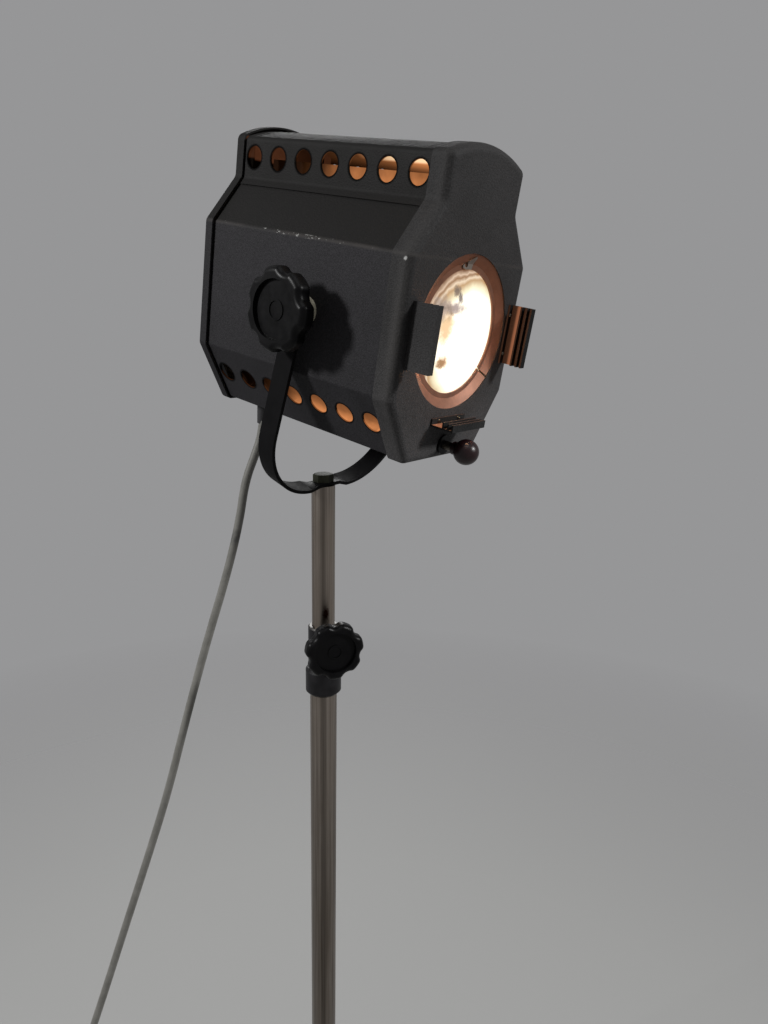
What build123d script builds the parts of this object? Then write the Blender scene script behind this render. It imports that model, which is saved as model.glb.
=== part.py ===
from build123d import *
from math import asin, atan2, cos, degrees, hypot, radians, sin, tan
import os

os.makedirs("parts", exist_ok=True)

# A spotlight on a telescopic stand. Millimetres, +Z up. The origin is where the stand's axis
# meets the floor, and the lamp faces -Y.

# ---- Driving dimensions ----------------------------------------------------------------------
# Stand
SEAT_HEIGHT = 1300.0  # top of the mast, where the yoke is bolted down
MAST_DIAMETER = 25.0
MAST_WALL = 2.0
MAST_LENGTH = 980.0
COLUMN_DIAMETER = 30.0
COLUMN_WALL = 2.0
COLLAR_TOP_DROP = 158.0  # from the seat down to the collar's top
COLLAR_NECK_DIAMETER = 33.5
COLLAR_NECK_LENGTH = 50.0
COLLAR_DIAMETER = 39.6
COLLAR_LENGTH = 30.0
COLUMN_GRIP = 26.0  # how far the column goes up into the collar
COLUMN_CLEARANCE_TO_FLOOR = 34.0
CLAMP_AZIMUTH = 240.0
CLAMP_KNOB_DIAMETER = 63.0
LEG_AZIMUTHS = (-90.0, 30.0, 150.0)
LEG_DIAMETER = 18.0
LEG_WALL = 1.5
LEG_REACH = 420.0  # from the stand's axis to the middle of each foot
HUB_HEIGHT = 262.0
HUB_DIAMETER = 48.0
HUB_LENGTH = 46.0
LEG_PIVOT_RADIUS = 37.0
FOOT_WALL = 4.0

# Lamp head, in its own frame: y runs back along the optical axis, z up from the tilt pivots
PIVOT_FORWARD = 60.0  # the tilt axis ahead of the stand's axis
PIVOT_HEIGHT = 175.0  # the tilt axis above the seat
HEAD_TILT = 9.1  # nose down
FRONT = -106.5
BODY_FRONT = -98.0
BODY_REAR = 128.0
COVER_REAR = 141.0
HOOD_HALF = 51.5
HOOD_TOP = 133.5
HOOD_BEND = 99.5
SIDE_HALF = 82.3
SHOULDER = 58.5
LOWER_BEND = -54.0
BOTTOM_HALF = 50.0
BOTTOM = -108.5
DOME_RISE = 11.0
COVER_DOME_EXTRA = 2.5
CORNER_ROUND = 4.0
SHEET = 1.2
CAP_SHEET = 1.5
CAP_DEPTH = 19.5
CAP_FRONT_ROUND = 7.0
COVER_GAP = 2.0
COVER_ROUND = 3.0
VENT_DIAMETER = 19.2
VENT_PITCH = 32.0
VENT_COUNT = 7
VENT_REAR = 116.0
UPPER_VENT_Z = 117.7
LOWER_VENT_Z = -79.5
HOOD_SEAM = 94.0
LENS_OPENING = 65.5
LENS_RADIUS = 63.5
LENS_VISIBLE = 52.5
LENS_RIM = 4.0
LENS_CROWN = 9.0
LENS_DEPTH = 9.5  # the lens rim behind the front plate's outer face
RUNNER_OFFSET = 73.0
RUNNER_LENGTH = 53.0
RUNNER_DEPTH = 24.0
RUNNER_SHEET = 1.6
RUNNER_LIP = 5.0
RUNNER_LIP_PLACES = (0.0, 12.4, 17.8, 22.4)  # ahead of the front plate
BOTTOM_RUNNER_Z = -72.0
BOTTOM_RUNNER_LENGTH = 50.0

# Focus slide and lamp
FOCUS_Z = -98.0
BALL_DIAMETER = 23.0
BALL_FORWARD = 25.5  # ball centre ahead of the front plate
ROD_DIAMETER = 8.0
RAIL_DIAMETER = 8.0
RAIL_HALF = 34.0
RAIL_Z = -86.0
CARRIAGE_Y = 14.0
CARRIAGE_LENGTH = 56.0
BULB_DIAMETER = 38.0

# Yoke
YOKE_HALF = 93.75
YOKE_WIDTH = 20.0
YOKE_THICK = 3.5
YOKE_BEND = 68.0
YOKE_BOLT = 12.0
TILT_KNOB_DIAMETER = 70.0
STUD_DIAMETER = 10.0

# Lead
CORD_DIAMETER = 9.0
GLAND_X = -22.0
GLAND_Y = 109.0

# Clearances
RUN = 0.08  # radial, for a shaft in its bore
GAP = 0.3  # between faces of pieces that move past each other

# ---- Values worked out from them --------------------------------------------------------------
TILT = radians(HEAD_TILT)
head = Plane(
    origin=(0, -PIVOT_FORWARD, SEAT_HEIGHT + PIVOT_HEIGHT),
    x_dir=(1, 0, 0),
    z_dir=(0, -sin(TILT), cos(TILT)),
)
optical_axis = Axis(head.origin, head.y_dir)
INSIDE_BOTTOM = BOTTOM + SHEET
COLLAR_TOP = SEAT_HEIGHT - COLLAR_TOP_DROP
COLLAR_STEP = COLLAR_TOP - COLLAR_NECK_LENGTH
COLLAR_BOTTOM = COLLAR_STEP - COLLAR_LENGTH
COLUMN_TOP = COLLAR_BOTTOM + COLUMN_GRIP


def across(y, x=0.0, z=0.0):
    """A plane across the optical axis: its x to the right, its y up, facing the lens end."""
    return Plane(origin=head.from_local_coords((x, y, z)), x_dir=(1, 0, 0), z_dir=-head.y_dir)


def level(z, x=0.0, y=0.0):
    """A plane along the optical axis that faces the lamp's top: its y runs back."""
    return Plane(origin=head.from_local_coords((x, y, z)), x_dir=(1, 0, 0), z_dir=head.z_dir)


def beside(x, y=0.0, z=0.0):
    """A plane along the lamp's side that faces +X: its x runs back, its y up."""
    return Plane(origin=head.from_local_coords((x, y, z)), x_dir=head.y_dir, z_dir=(1, 0, 0))


def leg_plane(azimuth):
    """An upright plane through the stand's axis: its x runs out along a leg, its y up."""
    a = radians(azimuth)
    return Plane(origin=(0, 0, 0), x_dir=(cos(a), sin(a), 0), z_dir=(sin(a), -cos(a), 0))


def save(piece, name):
    """Label a finished piece and write it as its own file."""
    piece.part.label = name
    export_step(piece.part, f"parts/{name}.step")


def casing_face(grow, lift=0.0):
    """The casing's eight-sided section under a low dome, set out by grow all round."""
    with BuildSketch() as section:
        with BuildLine():
            ThreePointArc(
                (-HOOD_HALF, HOOD_TOP), (0, HOOD_TOP + DOME_RISE + lift), (HOOD_HALF, HOOD_TOP)
            )
            Polyline(
                (HOOD_HALF, HOOD_TOP),
                (HOOD_HALF, HOOD_BEND),
                (SIDE_HALF, SHOULDER),
                (SIDE_HALF, LOWER_BEND),
                (BOTTOM_HALF, BOTTOM),
                (-BOTTOM_HALF, BOTTOM),
                (-SIDE_HALF, LOWER_BEND),
                (-SIDE_HALF, SHOULDER),
                (-HOOD_HALF, HOOD_BEND),
                (-HOOD_HALF, HOOD_TOP),
            )
        make_face()
        offset(amount=grow, kind=Kind.INTERSECTION)
        fillet(section.vertices(), CORNER_ROUND + grow)
    return section.sketch


def casing_tube(y_rear, length, outer, inner, lift=0.0):
    """A length of the casing's skin between two offsets of its section."""
    with BuildPart() as tube:
        with BuildSketch(across(y_rear)):
            add(casing_face(outer, lift))
        extrude(amount=length)
        with BuildSketch(across(y_rear)):
            add(casing_face(inner, lift))
        extrude(amount=length, mode=Mode.SUBTRACT)
    return tube


def pan(y_open, depth, outer, sheet, rounding, lift, forward):
    """A pressed pan: a plate with a flange all round, its edge rounded. It opens at y_open."""
    sign, end = (1, 0) if forward else (-1, -1)
    with BuildPart() as pressed:
        with BuildSketch(across(y_open)):
            add(casing_face(outer, lift))
        extrude(amount=sign * depth)
        fillet(pressed.faces().sort_by(optical_axis)[end].edges(), rounding)
        with BuildPart(mode=Mode.PRIVATE) as hollow:
            with BuildSketch(across(y_open)):
                add(casing_face(outer - sheet, lift))
            extrude(amount=sign * (depth - sheet))
            fillet(hollow.faces().sort_by(optical_axis)[end].edges(), rounding - sheet)
        add(hollow.part, mode=Mode.SUBTRACT)
    return pressed


def vent_places(z):
    """The middles of one row of vent holes, in the head's own frame."""
    return [(VENT_REAR - i * VENT_PITCH, z) for i in range(VENT_COUNT)]


PAN_SKIN = SHEET + CAP_SHEET  # how far the cap and the cover stand out from the shell

# ---- Casing ------------------------------------------------------------------------------------
LOWER_SLANT = atan2(LOWER_BEND - BOTTOM, SIDE_HALF - BOTTOM_HALF)


def slant_plane(side, z):
    """The lower slanted face on one side, facing outwards, its x running back."""
    x = SIDE_HALF - (LOWER_BEND - z) / tan(LOWER_SLANT)
    normal = head.x_dir * (side * sin(LOWER_SLANT)) - head.z_dir * cos(LOWER_SLANT)
    return Plane(
        origin=head.from_local_coords((side * x, 0, z)), x_dir=head.y_dir, z_dir=normal
    )


with BuildPart() as body_shell:
    add(casing_tube(BODY_REAR, BODY_REAR - BODY_FRONT, 0, -SHEET).part)
    split(bisect_by=level(HOOD_BEND - 1.5), keep=Keep.BOTTOM)
    for side in (-1, 1):
        with BuildSketch(slant_plane(side, LOWER_VENT_Z)):
            with Locations([(y, 0) for y, _ in vent_places(LOWER_VENT_Z)]):
                Circle(VENT_DIAMETER / 2)
        extrude(amount=6, both=True, mode=Mode.SUBTRACT)
    with BuildSketch(beside(0)):
        Circle(STUD_DIAMETER / 2 + RUN)
    extrude(amount=SIDE_HALF + 5, both=True, mode=Mode.SUBTRACT)
    with BuildSketch(level(BOTTOM, GLAND_X, GLAND_Y)):
        Circle(7.0)
    extrude(amount=5, both=True, mode=Mode.SUBTRACT)
save(body_shell, "body_shell")

with BuildPart() as vent_hood:
    add(casing_tube(BODY_REAR, BODY_REAR - BODY_FRONT, SHEET, 0).part)
    split(bisect_by=level(HOOD_SEAM), keep=Keep.TOP)
    with BuildSketch(beside(0)):
        with Locations(vent_places(UPPER_VENT_Z)):
            Circle(VENT_DIAMETER / 2)
    extrude(amount=HOOD_HALF + 5, both=True, mode=Mode.SUBTRACT)
save(vent_hood, "vent_hood")

# Light traps: a trough under the hood, and a plate inside each row of lower vents
TRAP_HALF = 38.0
TRAP_Z = 103.0
TRAP_LIP = 15.7
TRAP_FRONT = BODY_FRONT + 14
TRAP_LENGTH = BODY_REAR - TRAP_FRONT - 22
LOWER_TRAP_SET = 8.0
LOWER_TRAP_WIDTH = 32.0
TRAP_STAY = 12.0
with BuildPart() as light_traps:
    with BuildSketch(across(TRAP_FRONT + TRAP_LENGTH)):
        with Locations((0, TRAP_Z)):
            Rectangle(2 * TRAP_HALF, TRAP_LIP, align=(Align.CENTER, Align.MIN))
        with Locations((0, TRAP_Z + SHEET)):
            Rectangle(
                2 * (TRAP_HALF - SHEET), TRAP_LIP, align=(Align.CENTER, Align.MIN),
                mode=Mode.SUBTRACT,
            )
    extrude(amount=TRAP_LENGTH)
    # stays that hang the trough from the hood's strips
    for y in (TRAP_FRONT + 16, TRAP_FRONT + TRAP_LENGTH - 16):
        with BuildSketch(across(y)):
            for side in (-1, 1):
                with Locations((side * (TRAP_HALF + HOOD_HALF) / 2, TRAP_Z + 1)):
                    Rectangle(HOOD_HALF - TRAP_HALF, SHEET)
        extrude(amount=3, both=True)
    for side in (-1, 1):
        inward = slant_plane(side, LOWER_VENT_Z - 4).offset(-LOWER_TRAP_SET - SHEET)
        with BuildSketch(inward):
            with Locations((TRAP_FRONT + TRAP_LENGTH / 2, 0)):
                Rectangle(TRAP_LENGTH, LOWER_TRAP_WIDTH)
        extrude(amount=SHEET)
        for y in (TRAP_FRONT + TRAP_STAY, (TRAP_FRONT + BODY_REAR) / 2, BODY_REAR - 3 * TRAP_STAY):
            with BuildSketch(inward):
                with Locations((y, 6)):
                    Rectangle(8, SHEET)
            extrude(amount=LOWER_TRAP_SET)
save(light_traps, "light_traps")

with BuildPart() as front_cap:
    add(pan(FRONT + CAP_DEPTH, CAP_DEPTH, PAN_SKIN, CAP_SHEET, CAP_FRONT_ROUND, 0, True).part)
    with BuildSketch(across(FRONT)):
        Circle(LENS_OPENING)
    extrude(amount=12, both=True, mode=Mode.SUBTRACT)
    with BuildSketch(across(FRONT, 0, FOCUS_Z)):
        Circle(ROD_DIAMETER / 2 + 3)
    extrude(amount=6, both=True, mode=Mode.SUBTRACT)
save(front_cap, "front_cap")

# The rear frame closes the shell's end, and the hinged cover goes over it
FRAME_DEPTH = 13.0
FRAME_SHEET = 1.5
CATCH_X = -62.0
CATCH_SCREW = 4.0
LUG_Y = BODY_REAR + 2.5
LUG_SHEET = 2.0
with BuildPart() as rear_frame:
    add(casing_tube(BODY_REAR + 5, FRAME_DEPTH, -SHEET, -SHEET - FRAME_SHEET).part)
    # the lug that takes the cover's thumbscrew
    with BuildSketch(across(LUG_Y, -SIDE_HALF + SHEET + FRAME_SHEET / 2)):
        Rectangle(28, 18, align=(Align.MIN, Align.CENTER))
    extrude(amount=LUG_SHEET)
    with BuildSketch(across(LUG_Y, CATCH_X)):
        Circle(CATCH_SCREW / 2 + RUN)
    extrude(amount=LUG_SHEET, mode=Mode.SUBTRACT)
save(rear_frame, "rear_frame")

COVER_OPEN = BODY_REAR + COVER_GAP
COVER_SIDE = SIDE_HALF + PAN_SKIN
KNUCKLE = 3.0  # radius
KNUCKLE_LENGTH = 16.0
HINGE_PIN = 3.0
HINGE_LEAF = 2.0
HINGE_X = COVER_SIDE + KNUCKLE + GAP
HINGE_Y = COVER_OPEN - 1.0
with BuildPart() as rear_cover:
    add(
        pan(
            COVER_OPEN, COVER_REAR - COVER_OPEN, PAN_SKIN, CAP_SHEET, COVER_ROUND,
            COVER_DOME_EXTRA, False,
        ).part
    )
    with BuildSketch(across(COVER_REAR, CATCH_X)):
        Circle(CATCH_SCREW / 2 + RUN)
    extrude(amount=2 * CAP_SHEET, both=True, mode=Mode.SUBTRACT)
save(rear_cover, "rear_cover")

with BuildPart() as rear_hinge_leaf:
    for z in (-KNUCKLE_LENGTH, KNUCKLE_LENGTH):
        with BuildSketch(level(z, HINGE_X, HINGE_Y).offset((GAP - KNUCKLE_LENGTH) / 2)):
            Circle(KNUCKLE)
            Rectangle(HINGE_X - SIDE_HALF, KNUCKLE, align=(Align.MAX, Align.MAX))
        extrude(amount=KNUCKLE_LENGTH - GAP)
    with BuildSketch(level(0, SIDE_HALF, HINGE_Y - KNUCKLE / 2).offset(-1.5 * KNUCKLE_LENGTH)):
        Rectangle(HINGE_LEAF, 18, align=(Align.MIN, Align.MAX))
    extrude(amount=3 * KNUCKLE_LENGTH)
    with BuildSketch(level(0, HINGE_X, HINGE_Y)):
        Circle(HINGE_PIN / 2)
    extrude(amount=2 * KNUCKLE_LENGTH, both=True, mode=Mode.SUBTRACT)
save(rear_hinge_leaf, "rear_hinge_leaf")

with BuildPart() as rear_hinge_pin:
    with BuildSketch(level(-1.5 * KNUCKLE_LENGTH - 1, HINGE_X, HINGE_Y)):
        Circle(HINGE_PIN / 2)
    extrude(amount=3 * KNUCKLE_LENGTH + 2)
save(rear_hinge_pin, "rear_hinge_pin")

with BuildPart() as cover_hinge_leaf:
    with BuildSketch(level((GAP - KNUCKLE_LENGTH) / 2, HINGE_X, HINGE_Y)):
        Circle(KNUCKLE)
        Rectangle(HINGE_X - COVER_SIDE, KNUCKLE, align=(Align.MAX, Align.MIN))
    extrude(amount=KNUCKLE_LENGTH - GAP)
    with BuildSketch(level((GAP - KNUCKLE_LENGTH) / 2, COVER_SIDE, HINGE_Y + KNUCKLE / 2)):
        Rectangle(HINGE_LEAF, COVER_REAR - HINGE_Y - KNUCKLE, align=(Align.MIN, Align.MIN))
    extrude(amount=KNUCKLE_LENGTH - GAP)
    with BuildSketch(level(0, HINGE_X, HINGE_Y)):
        Circle(HINGE_PIN / 2 + RUN)
    extrude(amount=KNUCKLE_LENGTH, both=True, mode=Mode.SUBTRACT)
save(cover_hinge_leaf, "cover_hinge_leaf")

# The catch: a captive thumbscrew in the cover
with BuildPart() as cover_thumbscrew:
    with BuildSketch(across(COVER_REAR + GAP, CATCH_X)):
        Circle(8)
        with PolarLocations(8.6, 18):
            Circle(1.1, mode=Mode.SUBTRACT)
    extrude(amount=-7)
    with BuildSketch(across(COVER_REAR + 7 + GAP, CATCH_X)):
        Circle(5)
    extrude(amount=-2)
    with BuildSketch(across(COVER_REAR + GAP, CATCH_X)):
        Circle(CATCH_SCREW / 2)
    extrude(amount=COVER_REAR + GAP - LUG_Y + 3)
save(cover_thumbscrew, "cover_thumbscrew")

# ---- Lens and what carries it ------------------------------------------------------------------
LENS_REAR = FRONT + LENS_DEPTH + LENS_RIM
SEAT_FRONT = FRONT + CAP_SHEET
with BuildPart() as lens_seat:
    # a turned ring behind the front plate: flange, barrel and the lip the lens rests on
    with BuildSketch(across(SEAT_FRONT)):
        Circle(LENS_OPENING + 6)
        Circle(LENS_OPENING, mode=Mode.SUBTRACT)
    extrude(amount=-SHEET)
    with BuildSketch(across(SEAT_FRONT)):
        Circle(LENS_OPENING + SHEET)
        Circle(LENS_OPENING, mode=Mode.SUBTRACT)
    extrude(amount=SEAT_FRONT - LENS_REAR - SHEET)
    with BuildSketch(across(LENS_REAR)):
        Circle(LENS_OPENING + SHEET)
        Circle(LENS_RADIUS - 6, mode=Mode.SUBTRACT)
    extrude(amount=-SHEET)
save(lens_seat, "lens_seat")

LENS_SPHERE = (LENS_RADIUS**2 + LENS_CROWN**2) / (2 * LENS_CROWN)
LENS_HALF_ANGLE = asin(LENS_RADIUS / LENS_SPHERE) / 2
LENS_APEX = -LENS_RIM - LENS_CROWN
with BuildPart() as lens:
    # plano-convex: flat towards the lamp, domed to the front
    with BuildSketch(level(0, 0, LENS_REAR)):
        with BuildLine():
            Polyline((0, LENS_APEX), (0, 0), (LENS_RADIUS, 0), (LENS_RADIUS, -LENS_RIM))
            ThreePointArc(
                (LENS_RADIUS, -LENS_RIM),
                (
                    LENS_SPHERE * sin(LENS_HALF_ANGLE),
                    LENS_APEX + LENS_SPHERE * (1 - cos(LENS_HALF_ANGLE)),
                ),
                (0, LENS_APEX),
            )
        make_face()
    revolve(axis=optical_axis)
save(lens, "lens")

# The split ring: a dished strip sprung into the seat, holding the lens back
RING_GAP_ANGLE = -37.0
RING_GAP = 2.0
RING_THICK = 1.5
RING_OUTER = LENS_OPENING - 0.2
RING_EDGE = FRONT + 1.0
RING_INNER_EDGE = FRONT + 4.6
RING_DISH = FRONT + 5.0
with BuildPart() as lens_ring:
    with BuildSketch(level(0)):
        with BuildLine():
            Polyline(
                (RING_OUTER, RING_EDGE),
                (RING_OUTER, RING_EDGE + RING_THICK),
                (LENS_VISIBLE + 4.5, RING_DISH + RING_THICK),
                (LENS_VISIBLE, RING_INNER_EDGE + RING_THICK),
                (LENS_VISIBLE, RING_INNER_EDGE),
                (LENS_VISIBLE + 4.5, RING_DISH),
                close=True,
            )
        make_face()
    revolve(axis=optical_axis)
    gap_angle = radians(RING_GAP_ANGLE)
    gap_x_dir = head.x_dir * cos(gap_angle) + head.z_dir * sin(gap_angle)
    with BuildSketch(Plane(origin=across(FRONT).origin, x_dir=gap_x_dir, z_dir=-head.y_dir)):
        with Locations((LENS_OPENING, 0)):
            Rectangle(2 * (LENS_OPENING - LENS_VISIBLE) + 4, RING_GAP)
    extrude(amount=20, both=True, mode=Mode.SUBTRACT)
save(lens_ring, "lens_ring")

CLIP_CORNERS = ((-13.5, 54.0), (1.2, 50.5), (6.2, 64.6))
CLIP_HOLE = (-6.2, 56.2)
with BuildPart() as ring_clip:
    # the three-cornered tab with a hole that pulls the ring out, flat on the ring's dished face
    with BuildSketch(level(0)):
        with BuildLine():
            Polyline(
                (RING_OUTER, RING_EDGE),
                (LENS_VISIBLE + 4.5, RING_DISH),
                (LENS_VISIBLE, RING_INNER_EDGE),
                (LENS_VISIBLE, RING_INNER_EDGE - SHEET),
                (LENS_VISIBLE + 4.5, RING_DISH - SHEET),
                (RING_OUTER, RING_EDGE - SHEET),
                close=True,
            )
        make_face()
    revolve(axis=optical_axis)
    with BuildSketch(across(RING_EDGE)) as tab:
        with BuildLine():
            Polyline(*CLIP_CORNERS, close=True)
        make_face()
        fillet(tab.vertices(), 1.5)
        with Locations(CLIP_HOLE):
            Circle(2.2, mode=Mode.SUBTRACT)
    extrude(amount=20, both=True, mode=Mode.INTERSECT)
save(ring_clip, "ring_clip")


# ---- Accessory runners -------------------------------------------------------------------------
def runner(origin_x, origin_z, length, turn):
    """A folded channel with slots for colour frames, its lips towards the lens."""
    outward = head.x_dir * cos(radians(turn)) + head.z_dir * sin(radians(turn))
    origin = head.from_local_coords((origin_x, FRONT, origin_z))
    place = Plane(origin=origin, x_dir=outward, z_dir=-head.y_dir)
    with BuildPart() as channel:
        with BuildSketch(place):
            Rectangle(RUNNER_SHEET, length, align=(Align.MIN, Align.CENTER))
        extrude(amount=RUNNER_DEPTH)
        for ahead in RUNNER_LIP_PLACES:
            with BuildSketch(place.offset(ahead)):
                Rectangle(RUNNER_LIP, length, align=(Align.MAX, Align.CENTER))
            extrude(amount=RUNNER_SHEET)
    return channel


right_runner = runner(RUNNER_OFFSET, -0.5, RUNNER_LENGTH, 0)
save(right_runner, "right_runner")
left_runner = runner(-RUNNER_OFFSET, -0.5, RUNNER_LENGTH, 180)
save(left_runner, "left_runner")
bottom_runner = runner(0, BOTTOM_RUNNER_Z - RUNNER_LIP, BOTTOM_RUNNER_LENGTH, -90)
save(bottom_runner, "bottom_runner")
RIVET = 1.7
with BuildPart() as runner_rivets:
    places = [(side * (RUNNER_OFFSET - RUNNER_LIP / 2), z) for side in (-1, 1) for z in (-18, 17)]
    places += [(x, BOTTOM_RUNNER_Z - RUNNER_LIP / 2) for x in (-15, 15)]
    for x, z in places:
        with BuildSketch(across(FRONT - RUNNER_SHEET, x, z)):
            Circle(RIVET)
        extrude(amount=1.4, taper=25)
save(runner_rivets, "runner_rivets")

# ---- Tilt pivots -------------------------------------------------------------------------------
PIVOT_PLATE = 3.0
PIVOT_PLATE_LENGTH = 60.0
PIVOT_PLATE_HEIGHT = 44.0
PIVOT_HOLES = 44.0
PIVOT_HOLE = 4.2
SPACER_DIAMETER = 24.0
LIMB_INNER = YOKE_HALF - YOKE_THICK / 2
LIMB_OUTER = YOKE_HALF + YOKE_THICK / 2
with BuildPart() as pivot_plates:
    for side in (-1, 1):
        inner = side * (SIDE_HALF - SHEET - PIVOT_PLATE)
        with BuildSketch(beside(inner)) as plate:
            Rectangle(PIVOT_PLATE_LENGTH, PIVOT_PLATE_HEIGHT)
            fillet(plate.vertices(), 6)
            Circle(STUD_DIAMETER / 2, mode=Mode.SUBTRACT)
            with Locations((-PIVOT_HOLES / 2, 0), (PIVOT_HOLES / 2, 0)):
                Circle(PIVOT_HOLE / 2, mode=Mode.SUBTRACT)
        extrude(amount=side * PIVOT_PLATE)
save(pivot_plates, "pivot_plates")

with BuildPart() as pivot_spacers:
    for side in (-1, 1):
        with BuildSketch(beside(side * SIDE_HALF)):
            Circle(SPACER_DIAMETER / 2)
            Circle(STUD_DIAMETER / 2, mode=Mode.SUBTRACT)
        extrude(amount=side * (LIMB_INNER - SIDE_HALF - GAP / 2))
save(pivot_spacers, "pivot_spacers")

STUD_INSIDE = 8.0
KNOB_STAND = 2.6  # the limb's outer face to the knob's hub, over the washer
KNOB_HUB = 7.5
KNOB_BODY = 15.0
KNOB_LOBE_ROUND = 6.0
KNOB_FACE_ROUND = 5.4
KNOB_BACK_ROUND = 4.0
KNOB_DISH_SHARE = 0.70
KNOB_DISH = 3.5
KNOB_RING_SHARE = 0.25
with BuildPart() as pivot_studs:
    for side, reach in ((-1, LIMB_OUTER + KNOB_STAND + 13), (1, LIMB_OUTER + 14)):
        inner = SIDE_HALF - SHEET - PIVOT_PLATE - STUD_INSIDE
        with BuildSketch(beside(side * inner)):
            Circle(STUD_DIAMETER / 2)
        extrude(amount=side * (reach - inner))
        # the welded head inside the casing
        with BuildSketch(beside(side * (SIDE_HALF - SHEET - PIVOT_PLATE))):
            RegularPolygon(9.5, 6)
        extrude(amount=-side * 6)
save(pivot_studs, "pivot_studs")


def star_knob(base, diameter, hub_diameter, bore_radius, bore_depth):
    """A seven-lobed moulded knob on a hub that stands on base and faces along its normal."""
    lobes = 7
    with BuildPart() as knob:
        with BuildSketch(base.offset(KNOB_HUB)) as lobed:
            Circle(diameter / 2)
            with PolarLocations(diameter / 2 + 6.0, lobes):
                Circle(9.5, mode=Mode.SUBTRACT)
            fillet(lobed.vertices(), KNOB_LOBE_ROUND)
        extrude(amount=KNOB_BODY)
        normal = Axis(base.origin, base.z_dir)
        ends = knob.faces().filter_by(GeomType.PLANE).sort_by(normal)
        fillet(ends[-1].edges(), KNOB_FACE_ROUND)
        fillet(knob.faces().filter_by(GeomType.PLANE).sort_by(normal)[0].edges(), KNOB_BACK_ROUND)
        # the dished face and the raised ring in its middle
        with BuildSketch(base.offset(KNOB_HUB + KNOB_BODY)):
            Circle(diameter * KNOB_DISH_SHARE / 2)
        extrude(amount=-KNOB_DISH, mode=Mode.SUBTRACT)
        with BuildSketch(base.offset(KNOB_HUB + KNOB_BODY - KNOB_DISH)):
            Circle(diameter * KNOB_RING_SHARE / 2)
            Circle(diameter * KNOB_RING_SHARE / 2 - 1.6, mode=Mode.SUBTRACT)
        extrude(amount=0.8)
        with BuildSketch(base):
            Circle(hub_diameter / 2)
        extrude(amount=KNOB_HUB + 2)
        with BuildSketch(base):
            Circle(bore_radius)
        extrude(amount=bore_depth, mode=Mode.SUBTRACT)
    return knob


knob_seat = Plane(
    origin=head.from_local_coords((-LIMB_OUTER - KNOB_STAND, 0, 0)),
    x_dir=head.y_dir,
    z_dir=(-1, 0, 0),
)
tilt_knob = star_knob(
    knob_seat, TILT_KNOB_DIAMETER, 25, STUD_DIAMETER / 2 + RUN, 13 + 2 * GAP
)
save(tilt_knob, "tilt_knob")
with BuildPart() as tilt_washer:
    with BuildSketch(knob_seat.offset(-KNOB_STAND + GAP)):
        Circle(12)
        Circle(STUD_DIAMETER / 2 + RUN, mode=Mode.SUBTRACT)
    extrude(amount=KNOB_STAND - GAP)
save(tilt_washer, "tilt_washer")

with BuildPart() as far_lock_nut:
    with BuildSketch(beside(LIMB_OUTER + GAP)):
        Circle(11)
        Circle(STUD_DIAMETER / 2, mode=Mode.SUBTRACT)
    extrude(amount=2)
    with BuildSketch(beside(LIMB_OUTER + GAP + 2)):
        RegularPolygon(9.8, 6)
        Circle(STUD_DIAMETER / 2, mode=Mode.SUBTRACT)
    extrude(amount=8)
save(far_lock_nut, "far_lock_nut")

# ---- Focus slide -------------------------------------------------------------------------------
BUSH_FLANGE = 2.0
with BuildPart() as rod_bush:
    with BuildSketch(across(FRONT, 0, FOCUS_Z)):
        Circle(ROD_DIAMETER / 2 + 5)
    extrude(amount=BUSH_FLANGE)
    with BuildSketch(across(FRONT, 0, FOCUS_Z)):
        Circle(ROD_DIAMETER / 2 + 3)
    extrude(amount=-8)
    with BuildSketch(across(FRONT, 0, FOCUS_Z)):
        Circle(ROD_DIAMETER / 2 + RUN)
    extrude(amount=20, both=True, mode=Mode.SUBTRACT)
save(rod_bush, "rod_bush")

BRACKET_SHEET = 3.0
BRACKET_HALF = 46.0
RAIL_FRONT = -78.0
RAIL_REAR = 92.0
with BuildPart() as rail_brackets:
    for y in (RAIL_FRONT, RAIL_REAR):
        with BuildSketch(across(y)):
            with BuildLine():
                Polyline(
                    (-BRACKET_HALF, INSIDE_BOTTOM), (BRACKET_HALF, INSIDE_BOTTOM),
                    (BRACKET_HALF, RAIL_Z + 10), (-BRACKET_HALF, RAIL_Z + 10), close=True,
                )
            make_face()
            with Locations((-RAIL_HALF, RAIL_Z), (RAIL_HALF, RAIL_Z)):
                Circle(RAIL_DIAMETER / 2, mode=Mode.SUBTRACT)
            with Locations((0, FOCUS_Z)):
                Circle(ROD_DIAMETER / 2 + 1, mode=Mode.SUBTRACT)
        extrude(amount=-BRACKET_SHEET if y > 0 else BRACKET_SHEET)
save(rail_brackets, "rail_brackets")

with BuildPart() as slide_rails:
    for side in (-1, 1):
        with BuildSketch(across(RAIL_REAR + BRACKET_SHEET, side * RAIL_HALF, RAIL_Z)):
            Circle(RAIL_DIAMETER / 2)
        extrude(amount=RAIL_REAR - RAIL_FRONT + 2 * BRACKET_SHEET)
save(slide_rails, "slide_rails")

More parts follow.
